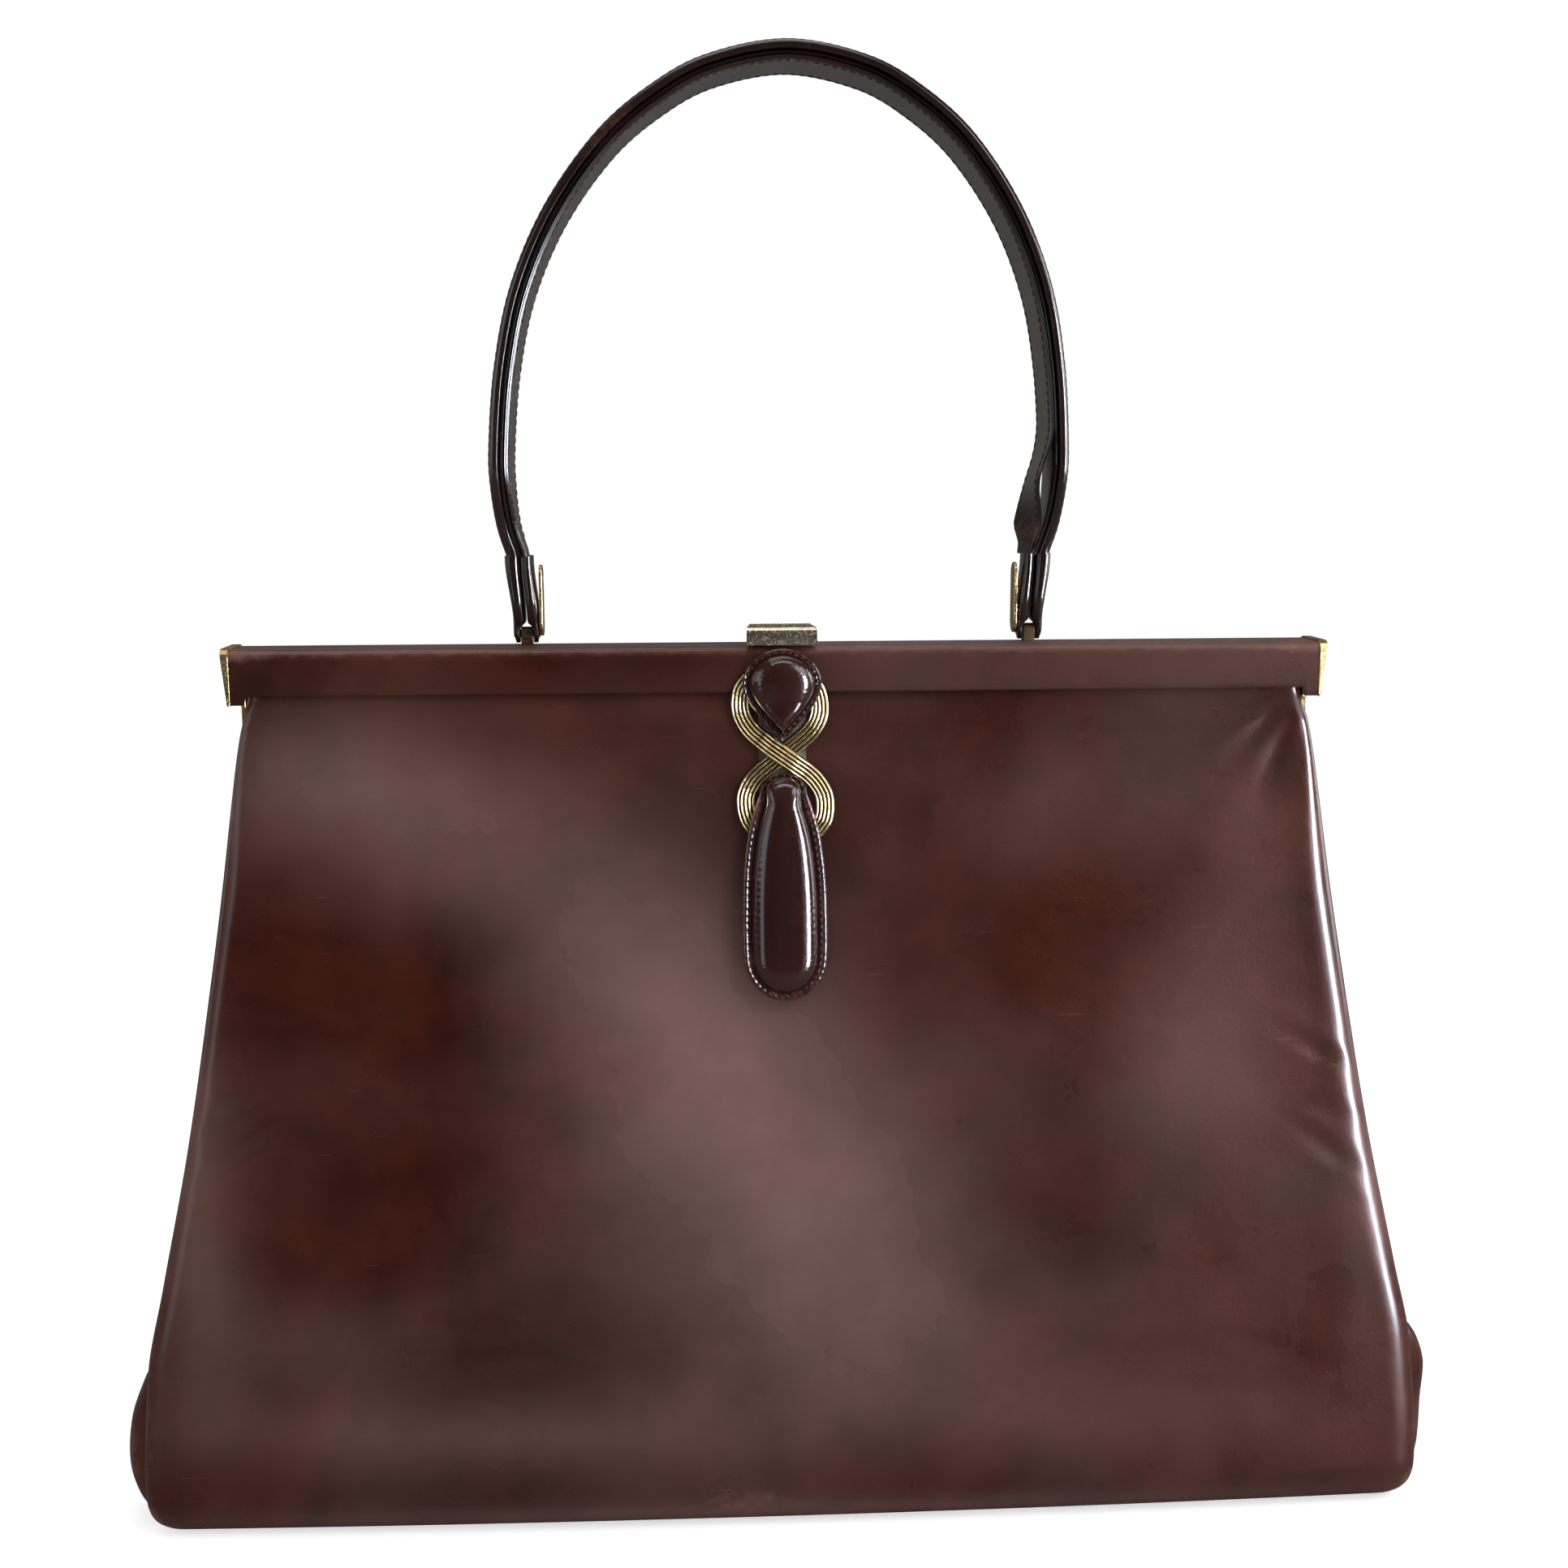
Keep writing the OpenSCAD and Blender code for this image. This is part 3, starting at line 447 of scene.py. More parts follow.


# Each calf's third colour is its dull bloom, with the painted reflection in it
body_calf = calf("burgundy_calf", (0.024, 0.0032, 0.0014), (0.072, 0.0150, 0.0080),
                 (0.215, 0.121, 0.103), (0.20, 0.09, 0.068), coat=0.38)
pad_calf = calf("ornament_calf", (0.020, 0.0052, 0.0040), (0.046, 0.014, 0.011),
                (0.10, 0.05, 0.045), (0.26, 0.075, 0.060), (0.12, 0.24), 0.8)
handle_calf = calf("handle_calf", (0.013, 0.0050, 0.0040), (0.028, 0.0115, 0.0092),
                   (0.05, 0.03, 0.028), (0.11, 0.05, 0.04), (0.16, 0.3))
inside_calf = calf("inside_calf", (0.03, 0.012, 0.009), (0.06, 0.026, 0.02),
                   (0.1, 0.06, 0.05), (0.12, 0.06, 0.045), (0.5, 0.65), coat=0.1)
fitting_brass = worn_brass("fitting_brass", (0.76, 0.54, 0.25), (0.46, 0.30, 0.14),
                           (0.10, 0.055, 0.025))
catch_brass = worn_brass("catch_brass", (0.95, 0.86, 0.64), (0.84, 0.70, 0.48),
                         (0.22, 0.14, 0.07), (0.18, 0.3), 0.4)
# The band's third colour, near black, is the grooves' tarnish and painted shade
band_brass = worn_brass("band_brass", (1.0, 0.84, 0.52), (0.90, 0.70, 0.38),
                        (0.030, 0.014, 0.006), (0.16, 0.3), 0.3)
strip_brass = worn_brass("strip_brass", (0.5, 0.44, 0.36), (0.34, 0.28, 0.22),
                         (0.1, 0.07, 0.05), (0.3, 0.5))
dark_brass = worn_brass("dark_brass", (0.09, 0.06, 0.035), (0.05, 0.033, 0.022),
                        (0.02, 0.013, 0.01), (0.35, 0.55))
lining_twill = twill("lining_twill", (0.42, 0.33, 0.22), (0.22, 0.16, 0.1))
board_card = grained("board_card", ((400, 400, 1800), 4, 0.7), (
    (0.2, 0.15, 0.1), (0.36, 0.29, 0.2)), (0.35, 0.65), (0.8, 0.95), 0.08)
brown_thread = grained("brown_thread", ((2600, 2600, 2600), 2, 0.55), (
    (0.02, 0.01, 0.008), (0.055, 0.028, 0.02)), (0.35, 0.65), (0.45, 0.65), 0.04)
spring_wire = grained("spring_wire", ((1800, 1800, 1800), 4, 0.7), (
    (0.5, 0.5, 0.48), (0.2, 0.1, 0.05)), (0.58, 0.7), (0.25, 0.6), 0.01, 1.0)


# Stitches: one rule lays them along any seam

def stitch_rule():
    tree = bpy.data.node_groups.new("Stitches along a seam", "GeometryNodeTree")
    face = tree.interface
    face.new_socket("Seam", in_out="INPUT", socket_type="NodeSocketGeometry")
    sockets = {}
    for name, kind, value in (
            ("Pitch", "NodeSocketFloat", 0.0018), ("Stitch length", "NodeSocketFloat", 0.0014),
            ("Thread radius", "NodeSocketFloat", 0.00025), ("Unevenness", "NodeSocketFloat", 0.08),
            ("Seed", "NodeSocketInt", 7), ("Thread", "NodeSocketMaterial", None)):
        socket = face.new_socket(name, in_out="INPUT", socket_type=kind)
        if value is not None:
            socket.default_value = value
        sockets[name] = socket.identifier
    face.new_socket("Stitches", in_out="OUTPUT", socket_type="NodeSocketGeometry")
    given = tree.nodes.new("NodeGroupInput").outputs

    def node(kind, values=(), **options):
        return add(tree, kind, values, **options).outputs[0]
    line = node("GeometryNodeMeshToCurve", {"Mesh": given["Seam"]})
    spaced = node("GeometryNodeResampleCurve", {"Curve": line, "Length": given["Pitch"]},
                  mode="LENGTH")
    along = node("GeometryNodeInputTangent")
    outward = add(tree, "GeometryNodeInputNamedAttribute", {"Name": "outward"},
                  data_type="FLOAT_VECTOR").outputs["Attribute"]
    turn = node("FunctionNodeAlignRotationToVector", {"Vector": along}, axis="X")
    turn = node("FunctionNodeAlignRotationToVector", {"Rotation": turn, "Vector": outward},
                axis="Z", pivot_axis="X")
    least = times(given["Unevenness"], -1.0)
    swing = add(tree, "FunctionNodeRandomValue", {
        "Min": least, "Max": given["Unevenness"], "Seed": given["Seed"]}, data_type="FLOAT")
    lean = node("ShaderNodeCombineXYZ", {"Z": next(o for o in swing.outputs if o.enabled)})
    turn = node("FunctionNodeRotateRotation", {"Rotation": turn, "Rotate By": lean},
                rotation_space="LOCAL")
    bead = node("GeometryNodeMeshUVSphere", {"Segments": 6, "Rings": 5, "Radius": 1.0})
    shape = node("ShaderNodeCombineXYZ", {
        "X": times(given["Stitch length"], 0.5), "Y": given["Thread radius"],
        "Z": given["Thread radius"]})
    thread = node("GeometryNodeTransform", {"Geometry": bead, "Scale": shape})
    set_out = node("GeometryNodeInstanceOnPoints", {
        "Points": spaced, "Instance": thread, "Rotation": turn})
    real = node("GeometryNodeRealizeInstances", {"Geometry": set_out})
    dyed = node("GeometryNodeSetMaterial", {"Geometry": real, "Material": given["Thread"]})
    add(tree, "NodeGroupOutput", {"Stitches": dyed})
    return tree, sockets


stitches, stitch_inputs = stitch_rule()


def sew(name, seams, finish, body, pitch, length, radius):
    """Stitches along seams, given as (points, outward directions, closed) in millimetres."""
    points, edges, outward = [], [], []
    for line, away, closed in seams:
        start = len(points)
        points += (np.asarray(line, float) * MM).tolist()
        outward += np.asarray(away, float).tolist()
        last = len(points) - 1
        edges += [(i, i + 1) for i in range(start, last)]
        if closed:
            edges.append((last, start))
    mesh = bpy.data.meshes.new(name + ".seam")
    mesh.from_pydata(points, edges, [])
    layer = mesh.attributes.new("outward", "FLOAT_VECTOR", "POINT")
    layer.data.foreach_set("vector", np.asarray(outward, np.float32).ravel())
    seam = show(bpy.data.objects.new(name + ".seam", mesh))
    rule = seam.modifiers.new("Stitches", "NODES")
    rule.node_group = stitches
    for key, value in (("Pitch", pitch * MM), ("Stitch length", length * MM),
                       ("Thread radius", radius * MM), ("Thread", finish)):
        rule[stitch_inputs[key]] = value
    shown = bpy.context.evaluated_depsgraph_get()
    made = bpy.data.meshes.new_from_object(seam.evaluated_get(shown), depsgraph=shown)
    bpy.data.objects.remove(seam)
    made.name = name
    made.polygons.foreach_set("use_smooth", [True] * len(made.polygons))
    obj = show(bpy.data.objects.new(name, made))
    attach(obj, body)


# Camera, floor and light, set as the photograph was taken

CAMERA_AT = (-22.7, -488, 273.6)
YAW, PITCH, ROLL = (math.radians(a) for a in (2.77, 9.69, -0.21))
FOCAL_PX, IMAGE_PX = 2271, 1932
SENSOR = 36
COOL = (0.80, 0.88, 1.0)
FLOOR_GLOW = 0.62  # what the lit floor lacks to white, for the camera
FLOOR_MIRRORED = (0.22, 0.21, 0.2)  # the floor's colour in polished surfaces
ROOM_MIRRORED = (0.02, 0.1)  # the dim room in polished surfaces
ROOM_LIGHT = 0.45


def photo_camera():
    aim = Vector((math.sin(YAW) * math.cos(PITCH), math.cos(YAW) * math.cos(PITCH),
                  -math.sin(PITCH)))
    level = Vector((math.cos(YAW), -math.sin(YAW), 0))
    upright = level.cross(aim)
    across = level * math.cos(ROLL) + upright * math.sin(ROLL)
    up = upright * math.cos(ROLL) - level * math.sin(ROLL)
    lens = bpy.data.cameras.new("camera")
    lens.lens, lens.sensor_width = SENSOR * FOCAL_PX / IMAGE_PX, SENSOR
    lens.clip_start, lens.clip_end = 0.02, 20
    camera = show(bpy.data.objects.new("camera", lens))
    turn = Matrix((across, up, -aim)).transposed()
    camera.matrix_world = Matrix.Translation(Vector(CAMERA_AT) * MM) @ turn.to_4x4()
    bpy.context.scene.camera = camera


def seen_rays(tree):
    """Light Path's outputs, and 1 for rays that look at the background."""
    ray = tree.nodes.new("ShaderNodeLightPath").outputs
    return ray, sum_of(ray["Is Camera Ray"], ray["Is Transmission Ray"], "MAXIMUM")


def pale_floor():
    """A floor that sweeps up behind the bag. The camera sees it white, with the bag's shadow."""
    run = [(-2.6, 0), (1.3, 0)] + [
        (1.3 + 0.6 * math.sin(a), 0.6 - 0.6 * math.cos(a)) for a in np.linspace(0.1, 1.57, 12)
    ] + [(1.9, 3.2)]
    points = [(x, y, z) for y, z in run for x in (-3.2, 3.2)]
    faces = [(2 * i, 2 * i + 1, 2 * i + 3, 2 * i + 2) for i in range(len(run) - 1)]
    finish, shader, where = new_finish("floor_paper", specular=0.1)
    grain = speckle(where, 300, 3)
    shade = tint(between(grain, 0.3, 0.7), (0.80, 0.80, 0.81), (0.82, 0.82, 0.83))
    shader.inputs["Roughness"].default_value = 0.9
    tree = shader.id_data
    ray, seen = seen_rays(tree)
    glow = add(tree, "ShaderNodeEmission", {
        "Color": (1, 1, 1, 1), "Strength": times(seen, FLOOR_GLOW)})
    shade = tint(ray["Is Glossy Ray"], shade, FLOOR_MIRRORED)
    tree.links.new(shade, shader.inputs["Base Color"])
    both = add(tree, "ShaderNodeAddShader", {0: shader.outputs[0], 1: glow.outputs[0]})
    tree.links.new(both.outputs[0], tree.nodes["Material Output"].inputs["Surface"])
    piece("floor", np.array(points) / MM, faces, finish)


def soft_box(name, place, size, power):
    """A lamp with a wide face, aimed at the bag's middle."""
    lamp = bpy.data.lights.new(name, "AREA")
    lamp.shape, lamp.size, lamp.size_y, lamp.energy = "RECTANGLE", size[0], size[1], power
    obj = show(bpy.data.objects.new(name, lamp))
    obj.location = place
    aim = Vector((0, 0, 0.12)) - Vector(place)
    obj.rotation_euler = aim.to_track_quat("-Z", "Y").to_euler()


def glow_card(name, azimuth, low, high, away, wide, strength, colour):
    """A standing card that only shows in polished surfaces, as a bright window does. Its
    azimuth is counted from straight in front of the bag towards the right."""
    a = math.radians(azimuth)
    middle = np.array([away * math.sin(a), -away * math.cos(a)])
    side = np.array([math.cos(a), math.sin(a)]) * wide / 2
    points = [(*(middle + side * s), z) for s, z in ((-1, low), (1, low), (1, high), (-1, high))]
    finish = bpy.data.materials.new(name)
    finish.use_nodes = True
    tree = finish.node_tree
    tree.nodes.clear()
    ray = tree.nodes.new("ShaderNodeLightPath").outputs
    lit = add(tree, "ShaderNodeEmission", {"Color": (*colour, 1), "Strength": strength})
    clear = add(tree, "ShaderNodeBsdfTransparent")
    shown = add(tree, "ShaderNodeMixShader", {
        0: ray["Is Glossy Ray"], 1: clear.outputs[0], 2: lit.outputs[0]})
    add(tree, "ShaderNodeOutputMaterial", {"Surface": shown.outputs[0]})
    finish.cycles.emission_sampling = "NONE"
    piece(name, np.array(points) / MM, [(0, 1, 2, 3)], finish)


def studio():
    world = bpy.data.worlds.new("studio")
    bpy.context.scene.world = world
    world.use_nodes = True
    tree = world.node_tree
    back = tree.nodes["Background"]
    where = tree.nodes.new("ShaderNodeTexCoord").outputs["Generated"]
    room = speckle(stretch(where, (1.0, 1.0, 1.6)), 1.6, 1, 0.4, 0.3)
    walls = between(room, 0.42, 0.62, *ROOM_MIRRORED)
    ray, seen = seen_rays(tree)
    light = sum_of(times(walls, ray["Is Glossy Ray"]), times(ray["Is Diffuse Ray"], ROOM_LIGHT))
    tree.links.new(sum_of(light, seen), back.inputs["Strength"])
    back.inputs["Color"].default_value = (1, 1, 1, 1)
    soft_box("key_box", (0.75, -0.55, 0.85), (0.7, 0.5), 5.0)
    soft_box("left_box", (-1.0, -0.5, 0.6), (0.5, 0.7), 2.0)
    soft_box("top_box", (-0.1, 0.2, 1.3), (0.9, 0.6), 3.0)
    # Azimuth, foot, top, distance, width, strength
    glow_card("right_window", 50, 0.0, 0.55, 1.2, 0.2, 125.0, COOL)
    glow_card("right_wall", 38, 0.0, 0.5, 1.3, 0.34, 1.1, COOL)
    glow_card("left_window", -46, 0.0, 0.55, 1.2, 0.3, 2.2, COOL)
    for name, *card in (("high_window", 8, 2.0, 2.8, 0.9, 2.0, 6.0),
                        ("far_right_window", 95, 0.1, 0.8, 1.1, 0.5, 8.0),
                        ("far_left_window", -95, 0.1, 0.8, 1.1, 0.5, 1.2)):
        glow_card(name, *card, (1, 1, 1))


bpy.context.scene.view_settings.view_transform = "Standard"
photo_camera()
pale_floor()
studio()


# The leather body: the form that hide, gussets and lining share. Depths are counted from the
# frame's middle plane, heights from the ground.

SEAM_Z = 216.0  # the bands' lower edge, where the hide goes under them
TUCK_Z, TOP_DEPTH = 221.0, 6.4  # the hide's edge inside the bars
SHOULDER = (9.4, 206.0)  # where a panel's straight slope ends
TURN, TURN_R = (34.0, 10.0), 10.0  # the round from the base to a panel
TOP_HALF, BASE_HALF = 138.3, 167.0  # half widths at the seam and at the base
HIDE_T = 1.4
BOARD_IN, BOARD_T = 1.7, 1.0  # depths under a panel's outer face, and thicknesses
LINING_IN, LINING_T = 3.1, 0.8
POCKET_IN, POCKET_T = 4.2, 0.8
FLAT_ROLL = 0.5  # how deep the side edges' roll is for its width
BEND = (104.0, 168.0)  # the heights between which the body bends with the jaws
GUSSET_IN, FOLD_IN = 2.9, 20  # the gusset's inset from the panels, and its fold's depth
EAR_OUT, EAR_TOP = 10.5, 52.0  # how far and how high its ears stand out

rise = (SHOULDER[0] - TURN[0], SHOULDER[1] - TURN[1])
LEAN = math.atan2(rise[1], rise[0]) - math.acos(TURN_R / math.hypot(*rise))
LEAN_SLOPE = math.tan(LEAN)

flare = smooth_table([[0, 0.955], [0.09, 1], [0.2, 0.966], [0.3, 0.828], [0.47, 0.586],
                      [0.68, 0.352], [0.87, 0.162], [0.935, 0.093], [1, 0]])
fold = smooth_table([[0, 0], [0.2, 0], [0.3, 0.3], [0.47, 0.8], [0.65, 1], [1, 0.85]])
left_ear = smooth_table([[0, 0.74], [0.1, 0.86], [0.3, 1], [0.5, 0.93], [0.7, 0.66], [0.85, 0.3],
                         [1, 0]])
right_ear = smooth_table([[0, 0.74], [0.2, 0.82], [0.4, 0.88], [0.62, 1], [0.76, 0.84],
                          [0.9, 0.38], [1, 0]])
lobe = smooth_table([[0, 0.05], [0.15, 0.14], [0.29, 0.36], [0.43, 0.68], [0.57, 0.94],
                     [0.66, 1], [0.76, 0.84], [0.86, 0.28], [0.94, 0.02], [1, 0]])


def panel_half(z):
    return mix(TOP_HALF, BASE_HALF, flare(np.asarray(z) / SEAM_Z))


def half_outline(step):
    """The hide's outer face from the middle of the base up into the bar, as (depth, height)."""
    arc = np.linspace(-math.pi / 2, LEAN, 24)
    line = [(0.0, 0.0)] + [(TURN[0] + TURN_R * math.cos(a), TURN[1] + TURN_R * math.sin(a))
                           for a in arc] + [SHOULDER]
    for t in np.linspace(0, 1, 12)[1:]:
        line.append((mix(SHOULDER[0], TOP_DEPTH, ease(t)), mix(SHOULDER[1], SEAM_Z, t)))
    return evenly(line + [(TOP_DEPTH, TUCK_Z)], step)


full_outline = half_outline(0.5)
outline_run = run_along(full_outline)


def outline_depth(z):
    up = full_outline[:, 1] > 0.001
    return np.interp(z, full_outline[up, 1], full_outline[up, 0])


def outline_away(line):
    """The directions square to the outline, out of the bag."""
    d = headings(line)
    return np.stack([d[:, 1], -d[:, 0]], 1)


# Creases of the front: (across, up, length, slant, depth)
CREASES = ((-152, 104, 15, 0.45, 0.8), (-148, 110, 11, 0.2, 0.5), (-141, 98, 16, 0.6, 0.5),
           (151, 116, 16, -0.5, 0.9), (156, 102, 12, -0.25, 0.6), (149, 92, 14, -0.6, 0.45),
           (-100, 58, 30, 0.12, 0.16), (-62, 44, 34, 0.15, 0.18), (-30, 37, 36, 0.1, 0.16),
           (-76, 50, 22, -0.05, 0.14), (96, 36, 36, -0.1, 0.2), (120, 46, 26, -0.3, 0.18),
           (60, 30, 30, 0.08, 0.14), (108, 27, 24, 0.05, 0.14))


def hide_relief(x, z, face):
    """How far the soft hide stands out or falls in, in millimetres."""
    half = panel_half(z)
    spot = np.stack([x, np.full_like(x, face * 40.0), z], -1)
    form = 1.7 * clouds(spot, 95, 3) + 0.6 * clouds(spot, 38, 5)
    form += 0.9 * hill(z, 70, 50) * (1 - (x / half) ** 2)
    form -= 1.1 * hill(z, 150, 38) * (1 - (np.abs(x) / half) ** 3)
    across, down = half - np.abs(x), SEAM_Z - z
    far = np.hypot(across, down)
    fan = np.sin(np.arctan2(down, np.maximum(across, 0.01)) * 17 + 0.6 * face)
    form += 0.42 * fan * ease((far - 5) / 8) * hill(far, 0, 24)
    for cx, cz, length, slant, deep in CREASES:
        right, up = face * -x - cx, z - cz
        along = right * math.cos(slant) + up * math.sin(slant)
        off = up * math.cos(slant) - right * math.sin(slant)
        form += deep * hill(along, 0, length) * (0.6 * hill(off, 3.8, 2.4) - hill(off, 0, 1.9))
    return form


def base_sag(x, z, run):
    """How far the full lower edge pushes forward in its middle."""
    bulge = np.clip(1 - (x / panel_half(z)) ** 2, 0, 1)
    return 2.6 * bulge * ease((run - 16) / 22) * hill(np.maximum(z - 8, 0), 0, 34)


def calm(x, z, run, half):
    """The share of the relief that is left near the edges, on the base and at the frame."""
    return (ease((half - np.abs(x) - 0.3) / 12) * ease((run - 38) / 26)
            * ease((SEAM_Z + 0.5 - z) / 9))


def soft_out(x, z, face):
    """How far the soft form of a panel stands out at a place on it."""
    run = np.interp(z, full_outline[:, 1], outline_run)
    return (hide_relief(x, z, face) * calm(x, z, run, panel_half(z))
            + base_sag(x, z, run) * math.cos(LEAN))


def follow_jaw(obj, where, much=1.0):
    """The piece bends from the body to a jaw, more the higher a point is."""
    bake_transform(obj, "root", where + "_jaw", start=(0, 0, BEND[0] * MM), end=(0, 0, BEND[1] * MM))
    share = ease((places(obj)[:, 2] - BEND[0]) / (BEND[1] - BEND[0])) * much
    layer = obj.data.attributes["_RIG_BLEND"]
    layer.data.foreach_set("value", np.asarray(share, np.float32))


def wrapped(name, face, depth, thick, finish, step, columns, side_in, roll, relief):
    """Half of a sheet that wraps the base and one panel, with its side edges rolled inwards."""
    line = half_outline(step)
    away = outline_away(line)
    away[0] = (0, -1)
    z = line[:, 1]
    half = panel_half(z) + 0.6 - mix(side_in[0], side_in[1], np.clip(z / SEAM_Z, 0, 1))
    run = run_along(line)
    round_r = roll * mix(1.0, 0.42, ease((z - 160) / 48)) if roll else np.zeros(len(z))
    turn = np.linspace(0, math.radians(100), 10)[1:] if roll else np.zeros(0)
    flat = np.linspace(-1, 1, columns)
    n, m = len(line), columns + 2 * len(turn)
    outer, inner, uv = np.zeros((n, m, 3)), np.zeros((n, m, 3)), np.zeros((n, m, 2))
    for grid, down in ((outer, depth), (inner, depth + thick)):
        x, sunk = np.zeros((n, m)), np.full((n, m), float(down))
        x[:, len(turn):len(turn) + columns] = flat[None] * (half - round_r)[:, None]
        if roll:
            r = np.maximum(round_r - (down - depth), 0.2)[:, None]
            side = (half - round_r)[:, None] + r * np.sin(turn)[None]
            fall = down + FLAT_ROLL * r * (1 - np.cos(turn)[None])
            x[:, len(turn) + columns:], sunk[:, len(turn) + columns:] = side, fall
            x[:, :len(turn)], sunk[:, :len(turn)] = -side[:, ::-1], fall[:, ::-1]
        form = relief(x, np.repeat(z[:, None], m, 1), face)
        sunk = sunk - form * calm(x, z[:, None], run[:, None], half[:, None])
        grid[:, :, 0] = x
        grid[:, :, 1] = face * (line[:, 0, None] - sunk * away[:, 0, None]
                                + base_sag(x, z[:, None], run[:, None]))
        grid[:, :, 2] = line[:, 1, None] - sunk * away[:, 1, None]
    uv[:, :, 0], uv[:, :, 1] = outer[:, :, 0], run[:, None]
    return sheet(name, outer, inner, finish, uv=uv)


def edge_wear(obj):
    """Wear where the body is rubbed: the base's turn, the side edges and a scuff in front."""
    x, y, z = places(obj).T
    side = hill(panel_half(np.clip(z, 0, SEAM_Z)), np.abs(x), 4.0)
    foot = hill(z, 0, 6.0)
    scuff = hill(x, -12, 13) * hill(z, 9, 5) * (y < 0)
    paint(obj, "wear", np.clip(
        0.3 * side + 0.36 * foot + 0.35 * side * foot + 0.45 * scuff, 0, 1))


# Where the polish has gone dull on the front, with a painted reflection of the room and, along the base, of
# the floor: (across, up, half width, half height, share)
BLOOM_AND_SHEEN = ((-14, 116, 36, 34, 0.85), (14, 74, 38, 30, 0.6), (38, 44, 54, 24, 0.32),
         (-116, 194, 34, 18, 0.55), (-76, 180, 34, 22, 0.42), (-46, 150, 30, 26, 0.4),
         (112, 122, 26, 30, 0.36), (70, 190, 46, 18, 0.1), (120, 178, 26, 30, 0.16),
         (156, 96, 8, 46, 0.5), (-150, 56, 12, 40, 0.32), (-118, 52, 26, 12, 0.2),
         (-84, 28, 60, 9, 0.34), (70, 28, 80, 9, 0.12), (-154, 116, 7, 44, 0.3),
         (0, 5, 170, 4, 0.36))


def paint_bloom_and_sheen(obj, face):
    """Soft dull areas among the polished ones on each panel, painted lighter and greyer as dull bloom and as
    painted reflection.
    """
    p = places(obj)
    share = 0.06 + 0.16 * clouds(p, 46, 41) + 0.05 * clouds(p, 17, 43)
    for across, up, wide, high, much in BLOOM_AND_SHEEN:
        share += much * hill(-face * p[:, 0], across, wide) * hill(p[:, 2], up, high)
    paint(obj, "bloom_and_painted_sheen", np.clip(share, 0, 1))


def make_hide():
    for face, where in PANELS:
        half = wrapped(where + "_hide", face, 0.0, HIDE_T, body_calf, 1.8, 171, (0, 0), 8.0,
                       hide_relief)
        edge_wear(half)
        paint_bloom_and_sheen(half, face)
        follow_jaw(half, where)
        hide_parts("outer_hide")


def gusset_x(u, z, ear):
    """Half width of a gusset at a share of its way to a panel and at a height."""
    return (panel_half(z) - 2.6 - FOLD_IN * fold(z / SEAM_Z) * (1 - u) ** 1.15
            + EAR_OUT * ear(z / EAR_TOP) * lobe(u))


def gusset_grid(face, low, high, inset, ear):
    """A gusset's folded form from its middle to a panel, and the shares of that way."""
    levels = np.unique(np.concatenate([
        low + (60 - low) * np.linspace(0, 1, 34) ** 1.5, np.linspace(60, high, 50)]))
    u = np.linspace(0, 1, 28)
    z = np.repeat(levels[:, None], len(u), 1)
    depth = outline_depth(np.maximum(levels, 1.4))[:, None]
    x = gusset_x(u[None] * (depth - inset) / (depth - GUSSET_IN), z, ear)
    return np.stack([x, face * u[None] * (depth - inset), z], -1), u


# The gusset's layers: name, node, inset, sink, thickness, finish, foot, top, slot
GUSSET_LAYERS = (
    ("gusset", "_gusset", GUSSET_IN, 0.0, 1.2, body_calf, 0.6, SEAM_Z - 0.1, "hide"),
    ("lining", "_gusset_lining", 4.4, 2.4, 0.8, lining_twill, 5.0, 190.0, "lining"))


def make_gusset(side, hand, face, where, layer):
    """Half of one layer of a gusset, from its middle fold to a panel."""
    name, node, inset, sink, thick, finish, low, high, slot = layer
    grid, u = gusset_grid(face, low, high, inset, right_ear if side > 0 else left_ear)
    spot = grid * np.array([side, 1, 1])
    soft = (0.9 * clouds(spot, 42, 11) + 0.35 * clouds(spot, 16, 13)) * ease(
        (1 - u[None]) / 0.2) * ease(u[None] / 0.12) * ease((grid[:, :, 2] - 3) / 10)
    out = facing(grid)
    out *= np.sign(out[:, :, :1] + 1e-9)
    outer = grid + out * (soft - sink)[:, :, None]
    inner = grid + out * (soft - sink - thick)[:, :, None]
    for g in (outer, inner):
        g[:, 0, 1] = 0.0
        g[:, :, 0] *= side
    uv = np.stack([np.abs(outer[:, :, 1]), outer[:, :, 2]], -1)
    obj = sheet(f"{hand}_{name}_{where}", outer, inner, finish, uv=uv)
    _, y, z = places(obj).T
    if finish is body_calf:
        paint(obj, "wear", 0.7 * hill(np.abs(y), 25, 8) * hill(z, 15, 14))
    edge = np.abs(y) / np.maximum(outline_depth(np.clip(z, 1.4, SEAM_Z)) - inset, 1.0)
    follow_jaw(obj, where, ease(edge))
    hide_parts(hand + node)


def make_gussets():
    for side, hand in ((1, "right"), (-1, "left")):
        for face, where in PANELS:
            for layer in GUSSET_LAYERS:
                make_gusset(side, hand, face, where, layer)


def lining_relief(x, z, face):
    spot = np.stack([x, np.full_like(x, face * 30.0), z], -1)
    return (hide_relief(x, z, face) - 0.4 - 0.5 * np.abs(clouds(spot, 60, 21))
            - 0.35 * np.abs(clouds(spot, 22, 23)))


def make_lining():
    for face, where in PANELS:
        half = wrapped(where + "_lining", face, LINING_IN, LINING_T, lining_twill, 3.2, 81,
                       (6, 9), 0, lining_relief)
        follow_jaw(half, where)
        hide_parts("main_lining")


def under_hide(x, z, depth, face=1):
    """Places at a depth under a panel's outer face."""
    y = face * (outline_depth(z) - (depth - soft_out(x, z, face)) / math.cos(LEAN))
    return np.stack([x, y, z], -1)


